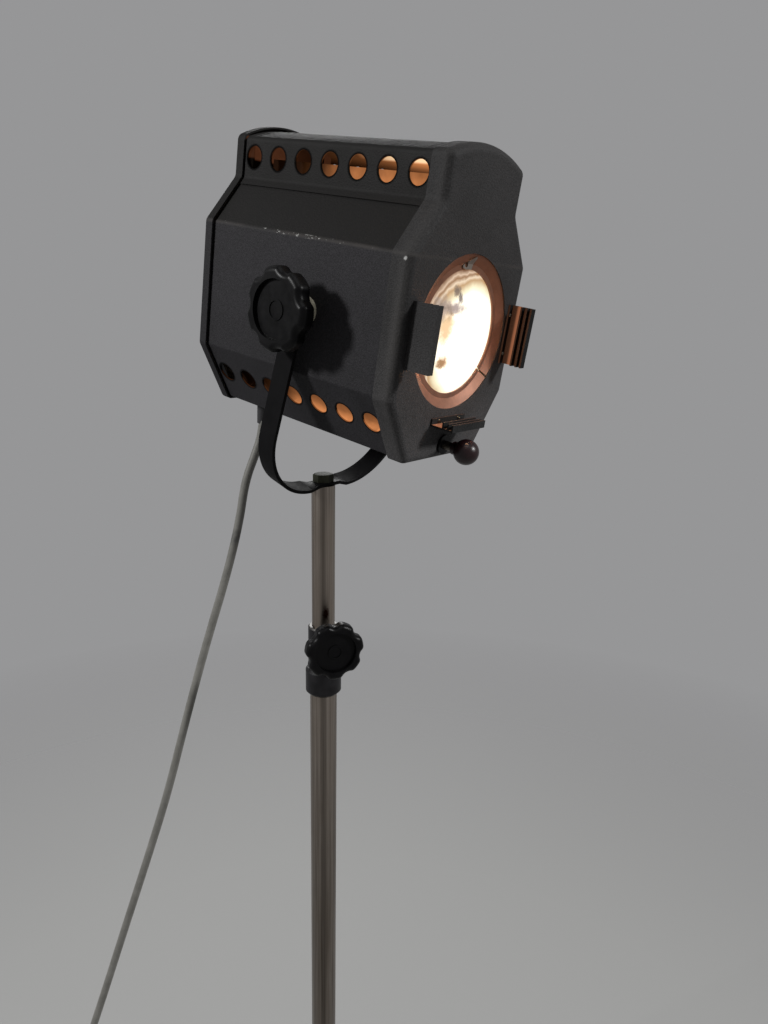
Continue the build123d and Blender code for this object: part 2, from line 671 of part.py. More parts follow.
CARRIAGE_Z = RAIL_Z + 9.0
CARRIAGE_REAR = CARRIAGE_Y + CARRIAGE_LENGTH / 2
CARRIAGE_FRONT = CARRIAGE_Y - CARRIAGE_LENGTH / 2
with BuildPart() as lamp_carriage:
    with BuildSketch(across(CARRIAGE_REAR)):
        with Locations((0, CARRIAGE_Z)):
            Rectangle(2 * RAIL_HALF + 18, 3, align=(Align.CENTER, Align.MIN))
        for side in (-1, 1):
            with Locations((side * RAIL_HALF, CARRIAGE_Z)):
                Rectangle(16, 17, align=(Align.CENTER, Align.MAX))
        with Locations((-RAIL_HALF, RAIL_Z), (RAIL_HALF, RAIL_Z)):
            Circle(RAIL_DIAMETER / 2 + RUN, mode=Mode.SUBTRACT)
    extrude(amount=CARRIAGE_LENGTH)
    with BuildSketch(across(CARRIAGE_FRONT + 4)):
        with Locations((0, CARRIAGE_Z)):
            Rectangle(18, CARRIAGE_Z - FOCUS_Z + 7, align=(Align.CENTER, Align.MAX))
    extrude(amount=4)
save(lamp_carriage, "lamp_carriage")

BALL_Y = FRONT - BALL_FORWARD
with BuildPart() as focus_rod:
    with BuildSketch(across(CARRIAGE_FRONT, 0, FOCUS_Z)):
        Circle(ROD_DIAMETER / 2)
    extrude(amount=CARRIAGE_FRONT - BALL_Y - BALL_DIAMETER / 2 + 6)
save(focus_rod, "focus_rod")
with BuildPart(across(BALL_Y, 0, FOCUS_Z)) as focus_ball:
    Sphere(BALL_DIAMETER / 2)
    with BuildSketch(across(BALL_Y + BALL_DIAMETER / 2 + 2, 0, FOCUS_Z)):
        Circle(ROD_DIAMETER / 2 + 2)
    extrude(amount=5)
    with BuildSketch(across(BALL_Y + BALL_DIAMETER / 2 + 2, 0, FOCUS_Z)):
        Circle(ROD_DIAMETER / 2)
    extrude(amount=8, mode=Mode.SUBTRACT)
save(focus_ball, "focus_ball")

HOLDER_Z = CARRIAGE_Z + 3
HOLDER_HEIGHT = 34.0
with BuildPart() as lamp_holder:
    with BuildSketch(level(HOLDER_Z, 0, CARRIAGE_Y)):
        Circle(24)
    extrude(amount=4)
    with BuildSketch(level(HOLDER_Z, 0, CARRIAGE_Y)):
        Circle(19)
    extrude(amount=HOLDER_HEIGHT)
    with BuildSketch(level(HOLDER_Z + HOLDER_HEIGHT, 0, CARRIAGE_Y)):
        Circle(14.2)
    extrude(amount=-24, mode=Mode.SUBTRACT)
save(lamp_holder, "lamp_holder")

BULB_TOP = 44.0
BULB_NECK_Z = HOLDER_Z + HOLDER_HEIGHT
lamp_axis = Axis(head.from_local_coords((0, CARRIAGE_Y, 0)), head.z_dir)
with BuildPart() as lamp_bulb:
    with BuildSketch(beside(0, CARRIAGE_Y)):
        r = BULB_DIAMETER / 2
        with BuildLine():
            Polyline(
                (0, BULB_TOP), (0, BULB_NECK_Z - 22), (14, BULB_NECK_Z - 22),
                (14, BULB_NECK_Z + 2), (r, BULB_NECK_Z + 10), (r, BULB_TOP - r),
            )
            CenterArc((0, BULB_TOP - r), r, 0, 90)
        make_face()
    revolve(axis=lamp_axis)
save(lamp_bulb, "lamp_bulb")

MIRROR_SPHERE = 52.0
MIRROR_RADIUS = 36.0
MIRROR_ANGLE = degrees(asin(MIRROR_RADIUS / MIRROR_SPHERE))
with BuildPart() as reflector:
    with BuildSketch(level(0, 0, CARRIAGE_Y)):
        with BuildLine():
            CenterArc((0, 0), MIRROR_SPHERE, 90 - MIRROR_ANGLE, MIRROR_ANGLE)
            Line((0, MIRROR_SPHERE), (0, MIRROR_SPHERE + SHEET))
            CenterArc((0, 0), MIRROR_SPHERE + SHEET, 90 - MIRROR_ANGLE, MIRROR_ANGLE)
            a = radians(90 - MIRROR_ANGLE)
            Line(
                (MIRROR_SPHERE * cos(a), MIRROR_SPHERE * sin(a)),
                ((MIRROR_SPHERE + SHEET) * cos(a), (MIRROR_SPHERE + SHEET) * sin(a)),
            )
        make_face()
    revolve(axis=optical_axis)
save(reflector, "reflector")

STAY_Y = CARRIAGE_Y + MIRROR_SPHERE + SHEET
STAY_START = CARRIAGE_Y + 24.0
with BuildPart() as reflector_stay:
    # an L-shaped strip from the carriage up the back of the mirror
    with BuildSketch(beside(-6)):
        with BuildLine():
            Polyline(
                (STAY_START, HOLDER_Z), (STAY_Y + 3, HOLDER_Z), (STAY_Y + 3, 10),
                (STAY_Y + 1, 10), (STAY_Y + 1, HOLDER_Z + 2), (STAY_START, HOLDER_Z + 2),
                close=True,
            )
        make_face()
    extrude(amount=12)
    with BuildSketch(across(STAY_Y + 1)):
        Circle(4)
    extrude(amount=1.0)
save(reflector_stay, "reflector_stay")

# ---- Mains side of the head --------------------------------------------------------------------
with BuildPart() as terminal_block:
    with BuildSketch(level(INSIDE_BOTTOM, 24, GLAND_Y)) as block:
        Rectangle(34, 18)
        fillet(block.vertices(), 1.5)
    extrude(amount=16)
    with BuildSketch(level(INSIDE_BOTTOM + 16, 24, GLAND_Y)):
        with Locations((-10, 0), (0, 0), (10, 0)):
            Circle(2.5)
    extrude(amount=-7, mode=Mode.SUBTRACT)
save(terminal_block, "terminal_block")

GLAND_NUT = 6.0
RELIEF_LENGTH = 20.0
RELIEF_TIP = BOTTOM - GLAND_NUT - RELIEF_LENGTH
with BuildPart() as cable_gland:
    with BuildSketch(level(BOTTOM, GLAND_X, GLAND_Y)):
        RegularPolygon(10, 6)
    extrude(amount=-GLAND_NUT)
    with BuildSketch(level(BOTTOM, GLAND_X, GLAND_Y)):
        Circle(7.0)
    extrude(amount=SHEET + 8)
    with BuildSketch(level(INSIDE_BOTTOM, GLAND_X, GLAND_Y)):
        RegularPolygon(10, 6)
    extrude(amount=4)
save(cable_gland, "cable_gland")

with BuildPart() as strain_relief:
    with BuildSketch(level(BOTTOM - GLAND_NUT, GLAND_X, GLAND_Y)):
        Circle(CORD_DIAMETER / 2 + 2)
    with BuildSketch(level(RELIEF_TIP, GLAND_X, GLAND_Y)):
        Circle(CORD_DIAMETER / 2 + 0.5)
    loft()
save(strain_relief, "strain_relief")

# ---- Yoke --------------------------------------------------------------------------------------
STRAP_MIDDLE = SEAT_HEIGHT + YOKE_THICK / 2
LEAN = atan2(PIVOT_FORWARD, SEAT_HEIGHT + PIVOT_HEIGHT - STRAP_MIDDLE)
LIMB_REACH = hypot(PIVOT_FORWARD, SEAT_HEIGHT + PIVOT_HEIGHT - STRAP_MIDDLE)
STRAP_FLAT = MAST_DIAMETER / 2 + 1.5  # half of the level stretch on top of the mast
BEND_START = YOKE_HALF - YOKE_BEND
yoke_across = Vector(0, cos(LEAN), sin(LEAN))
yoke_face = Plane(origin=(0, 0, STRAP_MIDDLE), x_dir=(1, 0, 0), z_dir=-yoke_across)


def strap_section(x, width_dir):
    """A plane square to the strap at x, its x across the strap's width."""
    return Plane(origin=(x, 0, STRAP_MIDDLE), x_dir=width_dir, z_dir=(1, 0, 0))


with BuildPart() as yoke_strap:
    with BuildSketch(Plane.XY.offset(SEAT_HEIGHT)):
        Rectangle(2 * STRAP_FLAT, YOKE_WIDTH)
    extrude(amount=YOKE_THICK)
    for side in (-1, 1):
        # the strap twists from level to the lean of its limbs, then bends up
        with BuildSketch(strap_section(side * STRAP_FLAT, (0, 1, 0))):
            Rectangle(YOKE_WIDTH, YOKE_THICK)
        with BuildSketch(strap_section(side * BEND_START, yoke_across)):
            Rectangle(YOKE_WIDTH, YOKE_THICK)
        loft()
        with BuildSketch(yoke_face):
            with Locations((side * BEND_START, YOKE_BEND)):
                Circle(YOKE_BEND + YOKE_THICK / 2)
                Circle(YOKE_BEND - YOKE_THICK / 2, mode=Mode.SUBTRACT)
                Rectangle(
                    2 * YOKE_HALF, 2 * YOKE_HALF, mode=Mode.INTERSECT,
                    align=(Align.MIN if side > 0 else Align.MAX, Align.MAX),
                )
        extrude(amount=YOKE_WIDTH / 2, both=True)
        limb = Plane(
            origin=Vector(side * YOKE_HALF - YOKE_THICK / 2, 0, STRAP_MIDDLE),
            x_dir=yoke_across,
            z_dir=(1, 0, 0),
        )
        with BuildSketch(limb):
            with Locations((0, YOKE_BEND)):
                Rectangle(YOKE_WIDTH, LIMB_REACH - YOKE_BEND, align=(Align.CENTER, Align.MIN))
            with Locations((0, LIMB_REACH)):
                Circle(YOKE_WIDTH / 2)
                Circle(STUD_DIAMETER / 2 + RUN, mode=Mode.SUBTRACT)
        extrude(amount=YOKE_THICK)
    with BuildSketch(Plane.XY.offset(SEAT_HEIGHT)):
        Circle(YOKE_BOLT / 2 + RUN)
    extrude(amount=YOKE_THICK * 2, both=True, mode=Mode.SUBTRACT)
save(yoke_strap, "yoke_strap")

# ---- Mast --------------------------------------------------------------------------------------
PLUG_LENGTH = 32.0
BOLT_LENGTH = 30.0
BOLT_HEAD = 8.0
MAST_BOTTOM = SEAT_HEIGHT - MAST_LENGTH
MAST_BORE = MAST_DIAMETER - 2 * MAST_WALL
with BuildPart() as mast_tube:
    with BuildSketch(Plane.XY.offset(MAST_BOTTOM)):
        Circle(MAST_DIAMETER / 2)
        Circle(MAST_BORE / 2, mode=Mode.SUBTRACT)
    extrude(amount=MAST_LENGTH)
    # the threaded plug welded into its top
    with BuildSketch(Plane.XY.offset(SEAT_HEIGHT)):
        Circle(MAST_BORE / 2)
        Circle(YOKE_BOLT / 2, mode=Mode.SUBTRACT)
    extrude(amount=-PLUG_LENGTH)
save(mast_tube, "mast_tube")

BOLT_SEAT = SEAT_HEIGHT + YOKE_THICK + GAP / 2
with BuildPart() as yoke_bolt:
    with BuildSketch(Plane.XY.offset(BOLT_SEAT)):
        RegularPolygon(YOKE_BOLT * 0.91, 6, rotation=15)
    extrude(amount=BOLT_HEAD)
    with BuildSketch(Plane.XZ):
        # the cone that turns off the head's corners
        with BuildLine():
            top = BOLT_SEAT + BOLT_HEAD
            Polyline(
                (0, BOLT_SEAT - 1), (YOKE_BOLT, BOLT_SEAT - 1), (YOKE_BOLT, top - 1.6),
                (YOKE_BOLT * 0.78, top), (0, top), close=True,
            )
        make_face()
    revolve(axis=Axis.Z, mode=Mode.INTERSECT)
    with BuildSketch(Plane.XY.offset(BOLT_SEAT)):
        Circle(YOKE_BOLT / 2)
    extrude(amount=-BOLT_LENGTH)
save(yoke_bolt, "yoke_bolt")

# ---- Column and clamp collar -------------------------------------------------------------------
COLUMN_BORE = COLUMN_DIAMETER - 2 * COLUMN_WALL
with BuildPart() as column_tube:
    with BuildSketch(Plane.XY.offset(COLUMN_CLEARANCE_TO_FLOOR)):
        Circle(COLUMN_DIAMETER / 2)
        Circle(COLUMN_BORE / 2, mode=Mode.SUBTRACT)
    extrude(amount=COLUMN_TOP - COLUMN_CLEARANCE_TO_FLOOR)
save(column_tube, "column_tube")

CAP_WALL = 2.5
CAP_HEIGHT = 26.0
with BuildPart() as column_end_cap:
    with BuildSketch(Plane.XY.offset(COLUMN_CLEARANCE_TO_FLOOR - CAP_WALL)):
        Circle(COLUMN_DIAMETER / 2 + CAP_WALL)
    extrude(amount=CAP_HEIGHT)
    with BuildSketch(Plane.XY.offset(COLUMN_CLEARANCE_TO_FLOOR)):
        Circle(COLUMN_DIAMETER / 2)
    extrude(amount=CAP_HEIGHT, mode=Mode.SUBTRACT)
    chamfer(column_end_cap.faces().sort_by(Axis.Z)[0].edges(), 1.5)
save(column_end_cap, "column_end_cap")

CLAMP_DROP = 12.0  # the clamp screw below the collar's top
CLAMP_BOSS = 22.0
CLAMP_BOSS_REACH = 26.0
clamp_angle = radians(CLAMP_AZIMUTH)
clamp_out = Vector(cos(clamp_angle), sin(clamp_angle), 0)
CLAMP_Z = COLLAR_TOP - CLAMP_DROP


def clamp_plane(radius):
    """A plane square to the clamp screw at a distance from the stand's axis, facing outwards."""
    return Plane(
        origin=clamp_out * radius + Vector(0, 0, CLAMP_Z), x_dir=(0, 0, 1), z_dir=clamp_out
    )


with BuildPart() as clamp_collar:
    with BuildSketch(Plane.XY.offset(COLLAR_BOTTOM)):
        Circle(COLLAR_DIAMETER / 2)
    extrude(amount=COLLAR_LENGTH)
    chamfer(clamp_collar.faces().sort_by(Axis.Z)[0].edges(), 3.0)
    chamfer(clamp_collar.faces().sort_by(Axis.Z)[-1].edges(), 2.5)
    with BuildSketch(Plane.XY.offset(COLLAR_STEP)):
        Circle(COLLAR_NECK_DIAMETER / 2)
    extrude(amount=COLLAR_NECK_LENGTH)
    chamfer(clamp_collar.faces().sort_by(Axis.Z)[-1].edges(), 1.5)
    with BuildSketch(clamp_plane(0)):
        Circle(CLAMP_BOSS / 2)
    extrude(amount=CLAMP_BOSS_REACH)
    with BuildSketch(Plane.XY.offset(COLLAR_BOTTOM)):
        Circle(COLUMN_DIAMETER / 2)
    extrude(amount=COLUMN_GRIP, mode=Mode.SUBTRACT)
    with BuildSketch(Plane.XY.offset(COLLAR_BOTTOM)):
        Circle(MAST_DIAMETER / 2 + RUN)
    extrude(amount=COLLAR_LENGTH + COLLAR_NECK_LENGTH, mode=Mode.SUBTRACT)
    with BuildSketch(clamp_plane(0)):
        Circle(STUD_DIAMETER / 2 + RUN)
    extrude(amount=CLAMP_BOSS_REACH, mode=Mode.SUBTRACT)
save(clamp_collar, "clamp_collar")

CLAMP_KNOB_BASE = CLAMP_BOSS_REACH + 1.0
clamp_knob = star_knob(
    clamp_plane(CLAMP_KNOB_BASE), CLAMP_KNOB_DIAMETER, 22, STUD_DIAMETER / 2, 12
)
save(clamp_knob, "clamp_knob")
with BuildPart() as clamp_screw:
    with BuildSketch(clamp_plane(MAST_DIAMETER / 2 + GAP)):
        Circle(STUD_DIAMETER / 2)
    extrude(amount=CLAMP_KNOB_BASE + 12 - MAST_DIAMETER / 2 - GAP)
save(clamp_screw, "clamp_screw")

# ---- Leg hub and legs --------------------------------------------------------------------------
EAR = 5.0
TONGUE = 10.0
EYE_RADIUS = 11.0
LEG_PIN = 6.0
LEG_START = 19.0  # from the pivot to the leg tube's end
SPIGOT_LENGTH = 24.0
FOOT_LENGTH = 46.0
TUBE_SHORT = 20.0  # the tube's end short of the floor, along the leg
FOOT_OVERRUN = 9.0
LEG_SLOPE = atan2(HUB_HEIGHT, LEG_REACH - LEG_PIVOT_RADIUS)
LEG_LENGTH = hypot(HUB_HEIGHT, LEG_REACH - LEG_PIVOT_RADIUS)
with BuildPart() as leg_hub:
    with BuildSketch(Plane.XY.offset(HUB_HEIGHT - HUB_LENGTH / 2)):
        Circle(HUB_DIAMETER / 2)
    extrude(amount=HUB_LENGTH)
    chamfer(leg_hub.faces().sort_by(Axis.Z)[0].edges(), 2)
    chamfer(leg_hub.faces().sort_by(Axis.Z)[-1].edges(), 2)
    for azimuth in LEG_AZIMUTHS:
        for side in (-1, 1):
            start = side * (TONGUE / 2 + GAP)
            with BuildSketch(leg_plane(azimuth).offset(start)):
                with Locations((COLUMN_DIAMETER / 2 + 3, HUB_HEIGHT)):
                    Rectangle(
                        LEG_PIVOT_RADIUS - COLUMN_DIAMETER / 2 - 3, 2 * EYE_RADIUS,
                        align=(Align.MIN, Align.CENTER),
                    )
                with Locations((LEG_PIVOT_RADIUS, HUB_HEIGHT)):
                    Circle(EYE_RADIUS)
                    Circle(LEG_PIN / 2, mode=Mode.SUBTRACT)
            extrude(amount=side * EAR)
    with BuildSketch(Plane.XY.offset(HUB_HEIGHT - HUB_LENGTH)):
        Circle(COLUMN_DIAMETER / 2)
    extrude(amount=2 * HUB_LENGTH, mode=Mode.SUBTRACT)
save(leg_hub, "leg_hub")

with BuildPart() as leg_pins:
    for azimuth in LEG_AZIMUTHS:
        with BuildSketch(leg_plane(azimuth)):
            with Locations((LEG_PIVOT_RADIUS, HUB_HEIGHT)):
                Circle(LEG_PIN / 2)
        extrude(amount=TONGUE / 2 + GAP + EAR + 2, both=True)
save(leg_pins, "leg_pins")


def along_leg(azimuth, distance):
    """A plane square to a leg's tube at a distance from its pivot, facing the foot."""
    upright = leg_plane(azimuth)
    pivot = upright.from_local_coords((LEG_PIVOT_RADIUS, HUB_HEIGHT, 0))
    down = upright.x_dir * cos(LEG_SLOPE) - upright.y_dir * sin(LEG_SLOPE)
    return Plane(origin=pivot + down * distance, x_dir=upright.z_dir, z_dir=down)


for number, azimuth in enumerate(LEG_AZIMUTHS, start=1):
    with BuildPart() as leg:
        with BuildSketch(leg_plane(azimuth)):
            with Locations((LEG_PIVOT_RADIUS, HUB_HEIGHT)):
                Circle(EYE_RADIUS)
            turned = Location((LEG_PIVOT_RADIUS, HUB_HEIGHT, 0), (0, 0, -degrees(LEG_SLOPE)))
            with Locations(turned):
                Rectangle(LEG_START, LEG_DIAMETER - 1, align=(Align.MIN, Align.CENTER))
            with Locations((LEG_PIVOT_RADIUS, HUB_HEIGHT)):
                Circle(LEG_PIN / 2 + RUN, mode=Mode.SUBTRACT)
        extrude(amount=TONGUE / 2, both=True)
        with BuildSketch(along_leg(azimuth, LEG_START)):
            Circle(LEG_DIAMETER / 2)
        extrude(amount=LEG_LENGTH - TUBE_SHORT - LEG_START)
        with BuildSketch(along_leg(azimuth, LEG_START + SPIGOT_LENGTH)):
            Circle(LEG_DIAMETER / 2 - LEG_WALL)
        extrude(amount=LEG_LENGTH, mode=Mode.SUBTRACT)
    save(leg, f"leg_{number}")

    with BuildPart() as leg_foot:
        with BuildSketch(along_leg(azimuth, LEG_LENGTH + FOOT_OVERRUN)):
            Circle(LEG_DIAMETER / 2 + FOOT_WALL)
        extrude(amount=-FOOT_LENGTH - FOOT_OVERRUN)
        with BuildSketch(along_leg(azimuth, LEG_LENGTH - TUBE_SHORT)):
            Circle(LEG_DIAMETER / 2)
        extrude(amount=-FOOT_LENGTH, mode=Mode.SUBTRACT)
        split(bisect_by=Plane.XY, keep=Keep.TOP)
    save(leg_foot, f"leg_foot_{number}")

# ---- Lead --------------------------------------------------------------------------------------
# The lead's route, chosen by hand: out of the strain relief, down behind the stand to the floor
LEAD_ROUTE = [
    (-22.0, 70.0, 1345.5),
    (-27.5, 74.2, 1326.0),
    (-36.2, 82.0, 1296.0),
    (-41.8, 86.9, 1250.0),
    (-54.1, 96.4, 1190.0),
    (-74.4, 113.2, 1106.0),
    (-95.2, 129.8, 1012.0),
    (-113.9, 145.5, 920.0),
    (-138.1, 165.3, 824.0),
    (-161.8, 186.3, 729.0),
    (-186.4, 207.0, 631.0),
    (-211.9, 228.8, 533.0),
    (-236.0, 249.0, 436.0),
    (-259.5, 268.6, 340.0),
    (-281.0, 287.0, 246.0),
    (-303.0, 306.0, 157.0),
    (-327.0, 326.0, 79.0),
    (-353.0, 349.0, 26.0),
    (-383.0, 379.0, 4.5),
    (-405.4, 390.1, 4.5),
]
TAIL_ROUTE = [
    (-422.6, 289.2, 13.8),
    (-399.0, 284.0, 13.8),
    (-377.0, 275.0, 6.5),
    (-356.0, 268.5, 5.4),
    (-339.0, 263.0, 12.0),
    (-322.0, 260.0, 19.0),
    (-303.0, 258.0, 19.0),
]
SWIVEL_CUT = (1229.0, 1231.0)  # level cuts between the stretches that pan, rise and stand
MAST_CUT = (1015.0, 1040.0)
COIL_X = -412.0
COIL_Y = 336.0
COIL_INNER = 31.5
COIL_OUTER = 59.1
COIL_HEIGHT = 18.4
PLUG_RADIUS = 19.0


def round_radii(points):
    """The largest tangent arc that each corner of a route leaves room for."""
    radii = []
    for before, at, after in zip(points, points[1:], points[2:]):
        into = Vector(at) - Vector(before)
        out_of = Vector(after) - Vector(at)
        half_turn = radians(into.get_angle(out_of)) / 2
        radii.append(0.45 * min(into.length, out_of.length) / tan(half_turn))
    return radii


def lead_tube(points):
    """A round lead along straight runs joined by tangent arcs."""
    with BuildPart() as tube:
        with BuildLine() as line:
            FilletPolyline(*points, radius=round_radii(points))
        start = line.wires()[0]
        with BuildSketch(Plane(origin=start @ 0, z_dir=start % 0)):
            Circle(CORD_DIAMETER / 2)
        sweep()
    return tube


with BuildPart() as lead_coil:
    with BuildSketch(Plane.XZ.offset(-COIL_Y)) as ring:
        with Locations((COIL_X + COIL_INNER, 0)):
            Rectangle(COIL_OUTER - COIL_INNER, COIL_HEIGHT, align=(Align.MIN, Align.MIN))
        fillet(ring.vertices(), CORD_DIAMETER / 2)
    revolve(axis=Axis((COIL_X, COIL_Y, 0), (0, 0, 1)))
save(lead_coil, "lead_coil")

whole_lead = lead_tube(LEAD_ROUTE)
spans = {
    "lead_at_head": (SWIVEL_CUT[1], 2 * SEAT_HEIGHT),
    "lead_at_mast": (MAST_CUT[1], SWIVEL_CUT[0]),
    "lead_to_floor": (0.0, MAST_CUT[0]),
}
for name, (low, high) in spans.items():
    with BuildPart() as span:
        add(whole_lead.part)
        with BuildSketch(Plane.XY.offset(low)):
            Rectangle(4 * SEAT_HEIGHT, 4 * SEAT_HEIGHT)
        extrude(amount=high - low, mode=Mode.INTERSECT)
        if name == "lead_to_floor":
            add(lead_tube(TAIL_ROUTE).part)
            add(lead_coil.part, mode=Mode.SUBTRACT)
    save(span, name)

plug_end = Vector(TAIL_ROUTE[-1])
plug_way = (Vector(TAIL_ROUTE[-1]) - Vector(TAIL_ROUTE[-2]))
plug_plane = Plane(
    origin=(plug_end.X, plug_end.Y, PLUG_RADIUS),
    x_dir=(0, 0, 1),
    z_dir=(plug_way.X, plug_way.Y, 0),
)
PLUG_SLEEVE = 20.0
PLUG_BODY = 34.0
PIN_SPACING = 19.0
with BuildPart() as mains_plug:
    with BuildSketch(Plane(origin=plug_plane.origin, x_dir=plug_plane.x_dir,
                           z_dir=plug_plane.y_dir)):
        with BuildLine():
            Polyline(
                (0, 0), (CORD_DIAMETER / 2 + 1, 0), (CORD_DIAMETER / 2 + 3, -PLUG_SLEEVE),
                (PLUG_RADIUS - 4, -PLUG_SLEEVE - 6), (PLUG_RADIUS, -PLUG_SLEEVE - 16),
                (PLUG_RADIUS, -PLUG_SLEEVE - PLUG_BODY), (0, -PLUG_SLEEVE - PLUG_BODY),
                close=True,
            )
        make_face()
    revolve(axis=Axis(plug_plane.origin, plug_plane.z_dir))
save(mains_plug, "mains_plug")

with BuildPart() as plug_pins:
    with BuildSketch(plug_plane.offset(PLUG_SLEEVE + PLUG_BODY)):
        with Locations((0, -PIN_SPACING / 2), (0, PIN_SPACING / 2)):
            Circle(2.4)
    extrude(amount=19)
    fillet(plug_pins.faces().sort_by(Axis(plug_plane.origin, plug_plane.z_dir))[-2:].edges(), 1.5)
save(plug_pins, "plug_pins")
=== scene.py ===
import math
import bpy
from mathutils import Matrix, Vector


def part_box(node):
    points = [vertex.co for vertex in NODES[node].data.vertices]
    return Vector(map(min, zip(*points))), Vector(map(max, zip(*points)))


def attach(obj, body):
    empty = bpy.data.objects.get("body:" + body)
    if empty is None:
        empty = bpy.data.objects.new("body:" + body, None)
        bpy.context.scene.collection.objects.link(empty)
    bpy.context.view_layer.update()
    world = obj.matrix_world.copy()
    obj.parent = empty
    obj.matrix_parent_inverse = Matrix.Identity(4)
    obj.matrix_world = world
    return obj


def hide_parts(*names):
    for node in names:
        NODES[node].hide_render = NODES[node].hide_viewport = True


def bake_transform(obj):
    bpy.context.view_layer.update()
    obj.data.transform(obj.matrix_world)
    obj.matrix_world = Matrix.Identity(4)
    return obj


# The looks of a vintage spotlight on a telescopic stand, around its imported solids. Metres, +Z up,
# the origin where the stand's axis meets the floor, the lamp facing -Y.
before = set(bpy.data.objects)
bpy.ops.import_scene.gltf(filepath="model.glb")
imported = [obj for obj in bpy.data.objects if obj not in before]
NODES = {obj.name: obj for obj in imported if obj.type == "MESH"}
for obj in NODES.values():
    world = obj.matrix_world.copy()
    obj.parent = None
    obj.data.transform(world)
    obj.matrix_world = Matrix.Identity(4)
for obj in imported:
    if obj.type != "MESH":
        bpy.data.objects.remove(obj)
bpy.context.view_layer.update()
scene = bpy.context.scene
scene.view_settings.view_transform = "Standard"


# ---- Camera --------------------------------------------------------------------------------------
CAMERA_PLACE = (-0.54396, -0.52919, 1.47352)
CAMERA_TURN = (50.628, 14.948, -1.205)  # degrees of yaw from +Y, pitch down and roll
CAMERA_LENS = 26.08  # mm, on a sensor 36 mm high


def add_camera():
    """The camera, where a person holding it at head height stands."""
    yaw, pitch, roll = (math.radians(a) for a in CAMERA_TURN)
    look = Vector((math.sin(yaw) * math.cos(pitch), math.cos(yaw) * math.cos(pitch), -math.sin(pitch)))
    right = Vector((math.cos(yaw), -math.sin(yaw), 0))
    down = look.cross(right)
    x_axis = right * math.cos(roll) + down * math.sin(roll)
    y_axis = right * math.sin(roll) - down * math.cos(roll)
    camera = bpy.data.objects.new("camera", bpy.data.cameras.new("camera"))
    camera.data.sensor_width = 36
    camera.data.lens = CAMERA_LENS
    camera.data.clip_start = 0.02
    turn = Matrix((x_axis, y_axis, -look)).transposed().to_4x4()
    camera.matrix_world = Matrix.Translation(CAMERA_PLACE) @ turn
    scene.collection.objects.link(camera)
    scene.camera = camera


add_camera()

# ---- Lead ----------------------------------------------------------------------------------------
CORD_DIAMETER = 0.009
CORD_TUCK = 0.004  # how far its start sits inside the strain relief
relief_low, relief_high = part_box("strain_relief")
RELIEF_TIP = relief_low.lerp(relief_high, 0.5)
RELIEF_TIP.z = relief_low.z + CORD_TUCK
# The route of part.py, in metres
LEAD_ROUTE = [
    (-0.0220, 0.0700, 1.3455),
    (-0.0275, 0.0742, 1.3260),
    (-0.0362, 0.0820, 1.2960),
    (-0.0418, 0.0869, 1.2500),
    (-0.0541, 0.0964, 1.1900),
    (-0.0744, 0.1132, 1.1060),
    (-0.0952, 0.1298, 1.0120),
    (-0.1139, 0.1455, 0.9200),
    (-0.1381, 0.1653, 0.8240),
    (-0.1618, 0.1863, 0.7290),
    (-0.1864, 0.2070, 0.6310),
    (-0.2119, 0.2288, 0.5330),
    (-0.2360, 0.2490, 0.4360),
    (-0.2595, 0.2686, 0.3400),
    (-0.2810, 0.2870, 0.2460),
    (-0.3030, 0.3060, 0.1570),
    (-0.3270, 0.3260, 0.0790),
    (-0.3530, 0.3490, 0.0260),
    (-0.3830, 0.3790, 0.0045),
]
TAIL_ROUTE = [
    (-0.3990, 0.2840, 0.0138),
    (-0.3770, 0.2750, 0.0065),
    (-0.3560, 0.2685, 0.0054),
    (-0.3390, 0.2630, 0.0120),
    (-0.3220, 0.2600, 0.0190),
    (-0.3030, 0.2580, 0.0190),
]
COIL_CENTRE = (-0.412, 0.336)
COIL_RINGS = [  # each turn's radius, and the height of its middle
    (0.0545, 0.0046), (0.0453, 0.0046), (0.0361, 0.0046),
    (0.0407, 0.0138), (0.0499, 0.0138), (0.0480, 0.0138),
]
COIL_START = math.radians(83)
COIL_TURNS = 5.484
COIL_STEPS = 16  # control points a turn
COIL_CROSSING = 0.28  # the share of a turn in which it steps over to the next
SWIVEL_CUT = 1.230  # heights where the stretches that swivel, rise and stand meet
MAST_CUT = 1.028


def coil_points():
    """A neat coil: three turns on the floor and two and a half on top, each stepping over to the next."""
    points = []
    count = round(COIL_TURNS * COIL_STEPS)
    for i in range(1, count + 1):
        turns = COIL_TURNS * i / count
        ring = int(turns)
        step = min(1, max(0, (turns - ring - 0.72) / COIL_CROSSING))
        (r0, z0), (r1, z1) = COIL_RINGS[ring], COIL_RINGS[min(ring + 1, len(COIL_RINGS) - 1)]
        climb = min(1, max(0, (turns - ring - 0.55) / COIL_CROSSING))
        radius = r0 + (r1 - r0) * step
        angle = COIL_START + 2 * math.pi * turns
        points.append((
            COIL_CENTRE[0] + radius * math.cos(angle),
            COIL_CENTRE[1] + radius * math.sin(angle),
            z0 + (z1 - z0) * climb,
        ))
    return points


def nurbs_line(points):
    """The points that a smooth spline through a route's control points passes."""
    curve = bpy.data.curves.new("route", "CURVE")
    curve.dimensions = "3D"
    spline = curve.splines.new("NURBS")
    spline.points.add(len(points) - 1)
    for point, place in zip(spline.points, points):
        point.co = (*place, 1)
    spline.order_u = 3
    spline.use_endpoint_u = True
    spline.resolution_u = 8
    holder = bpy.data.objects.new("route", curve)
    scene.collection.objects.link(holder)
    mesh = bpy.data.meshes.new_from_object(holder)
    line = [v.co.copy() for v in mesh.vertices]
    bpy.data.objects.remove(holder)
    bpy.data.meshes.remove(mesh)
    bpy.data.curves.remove(curve)
    return line


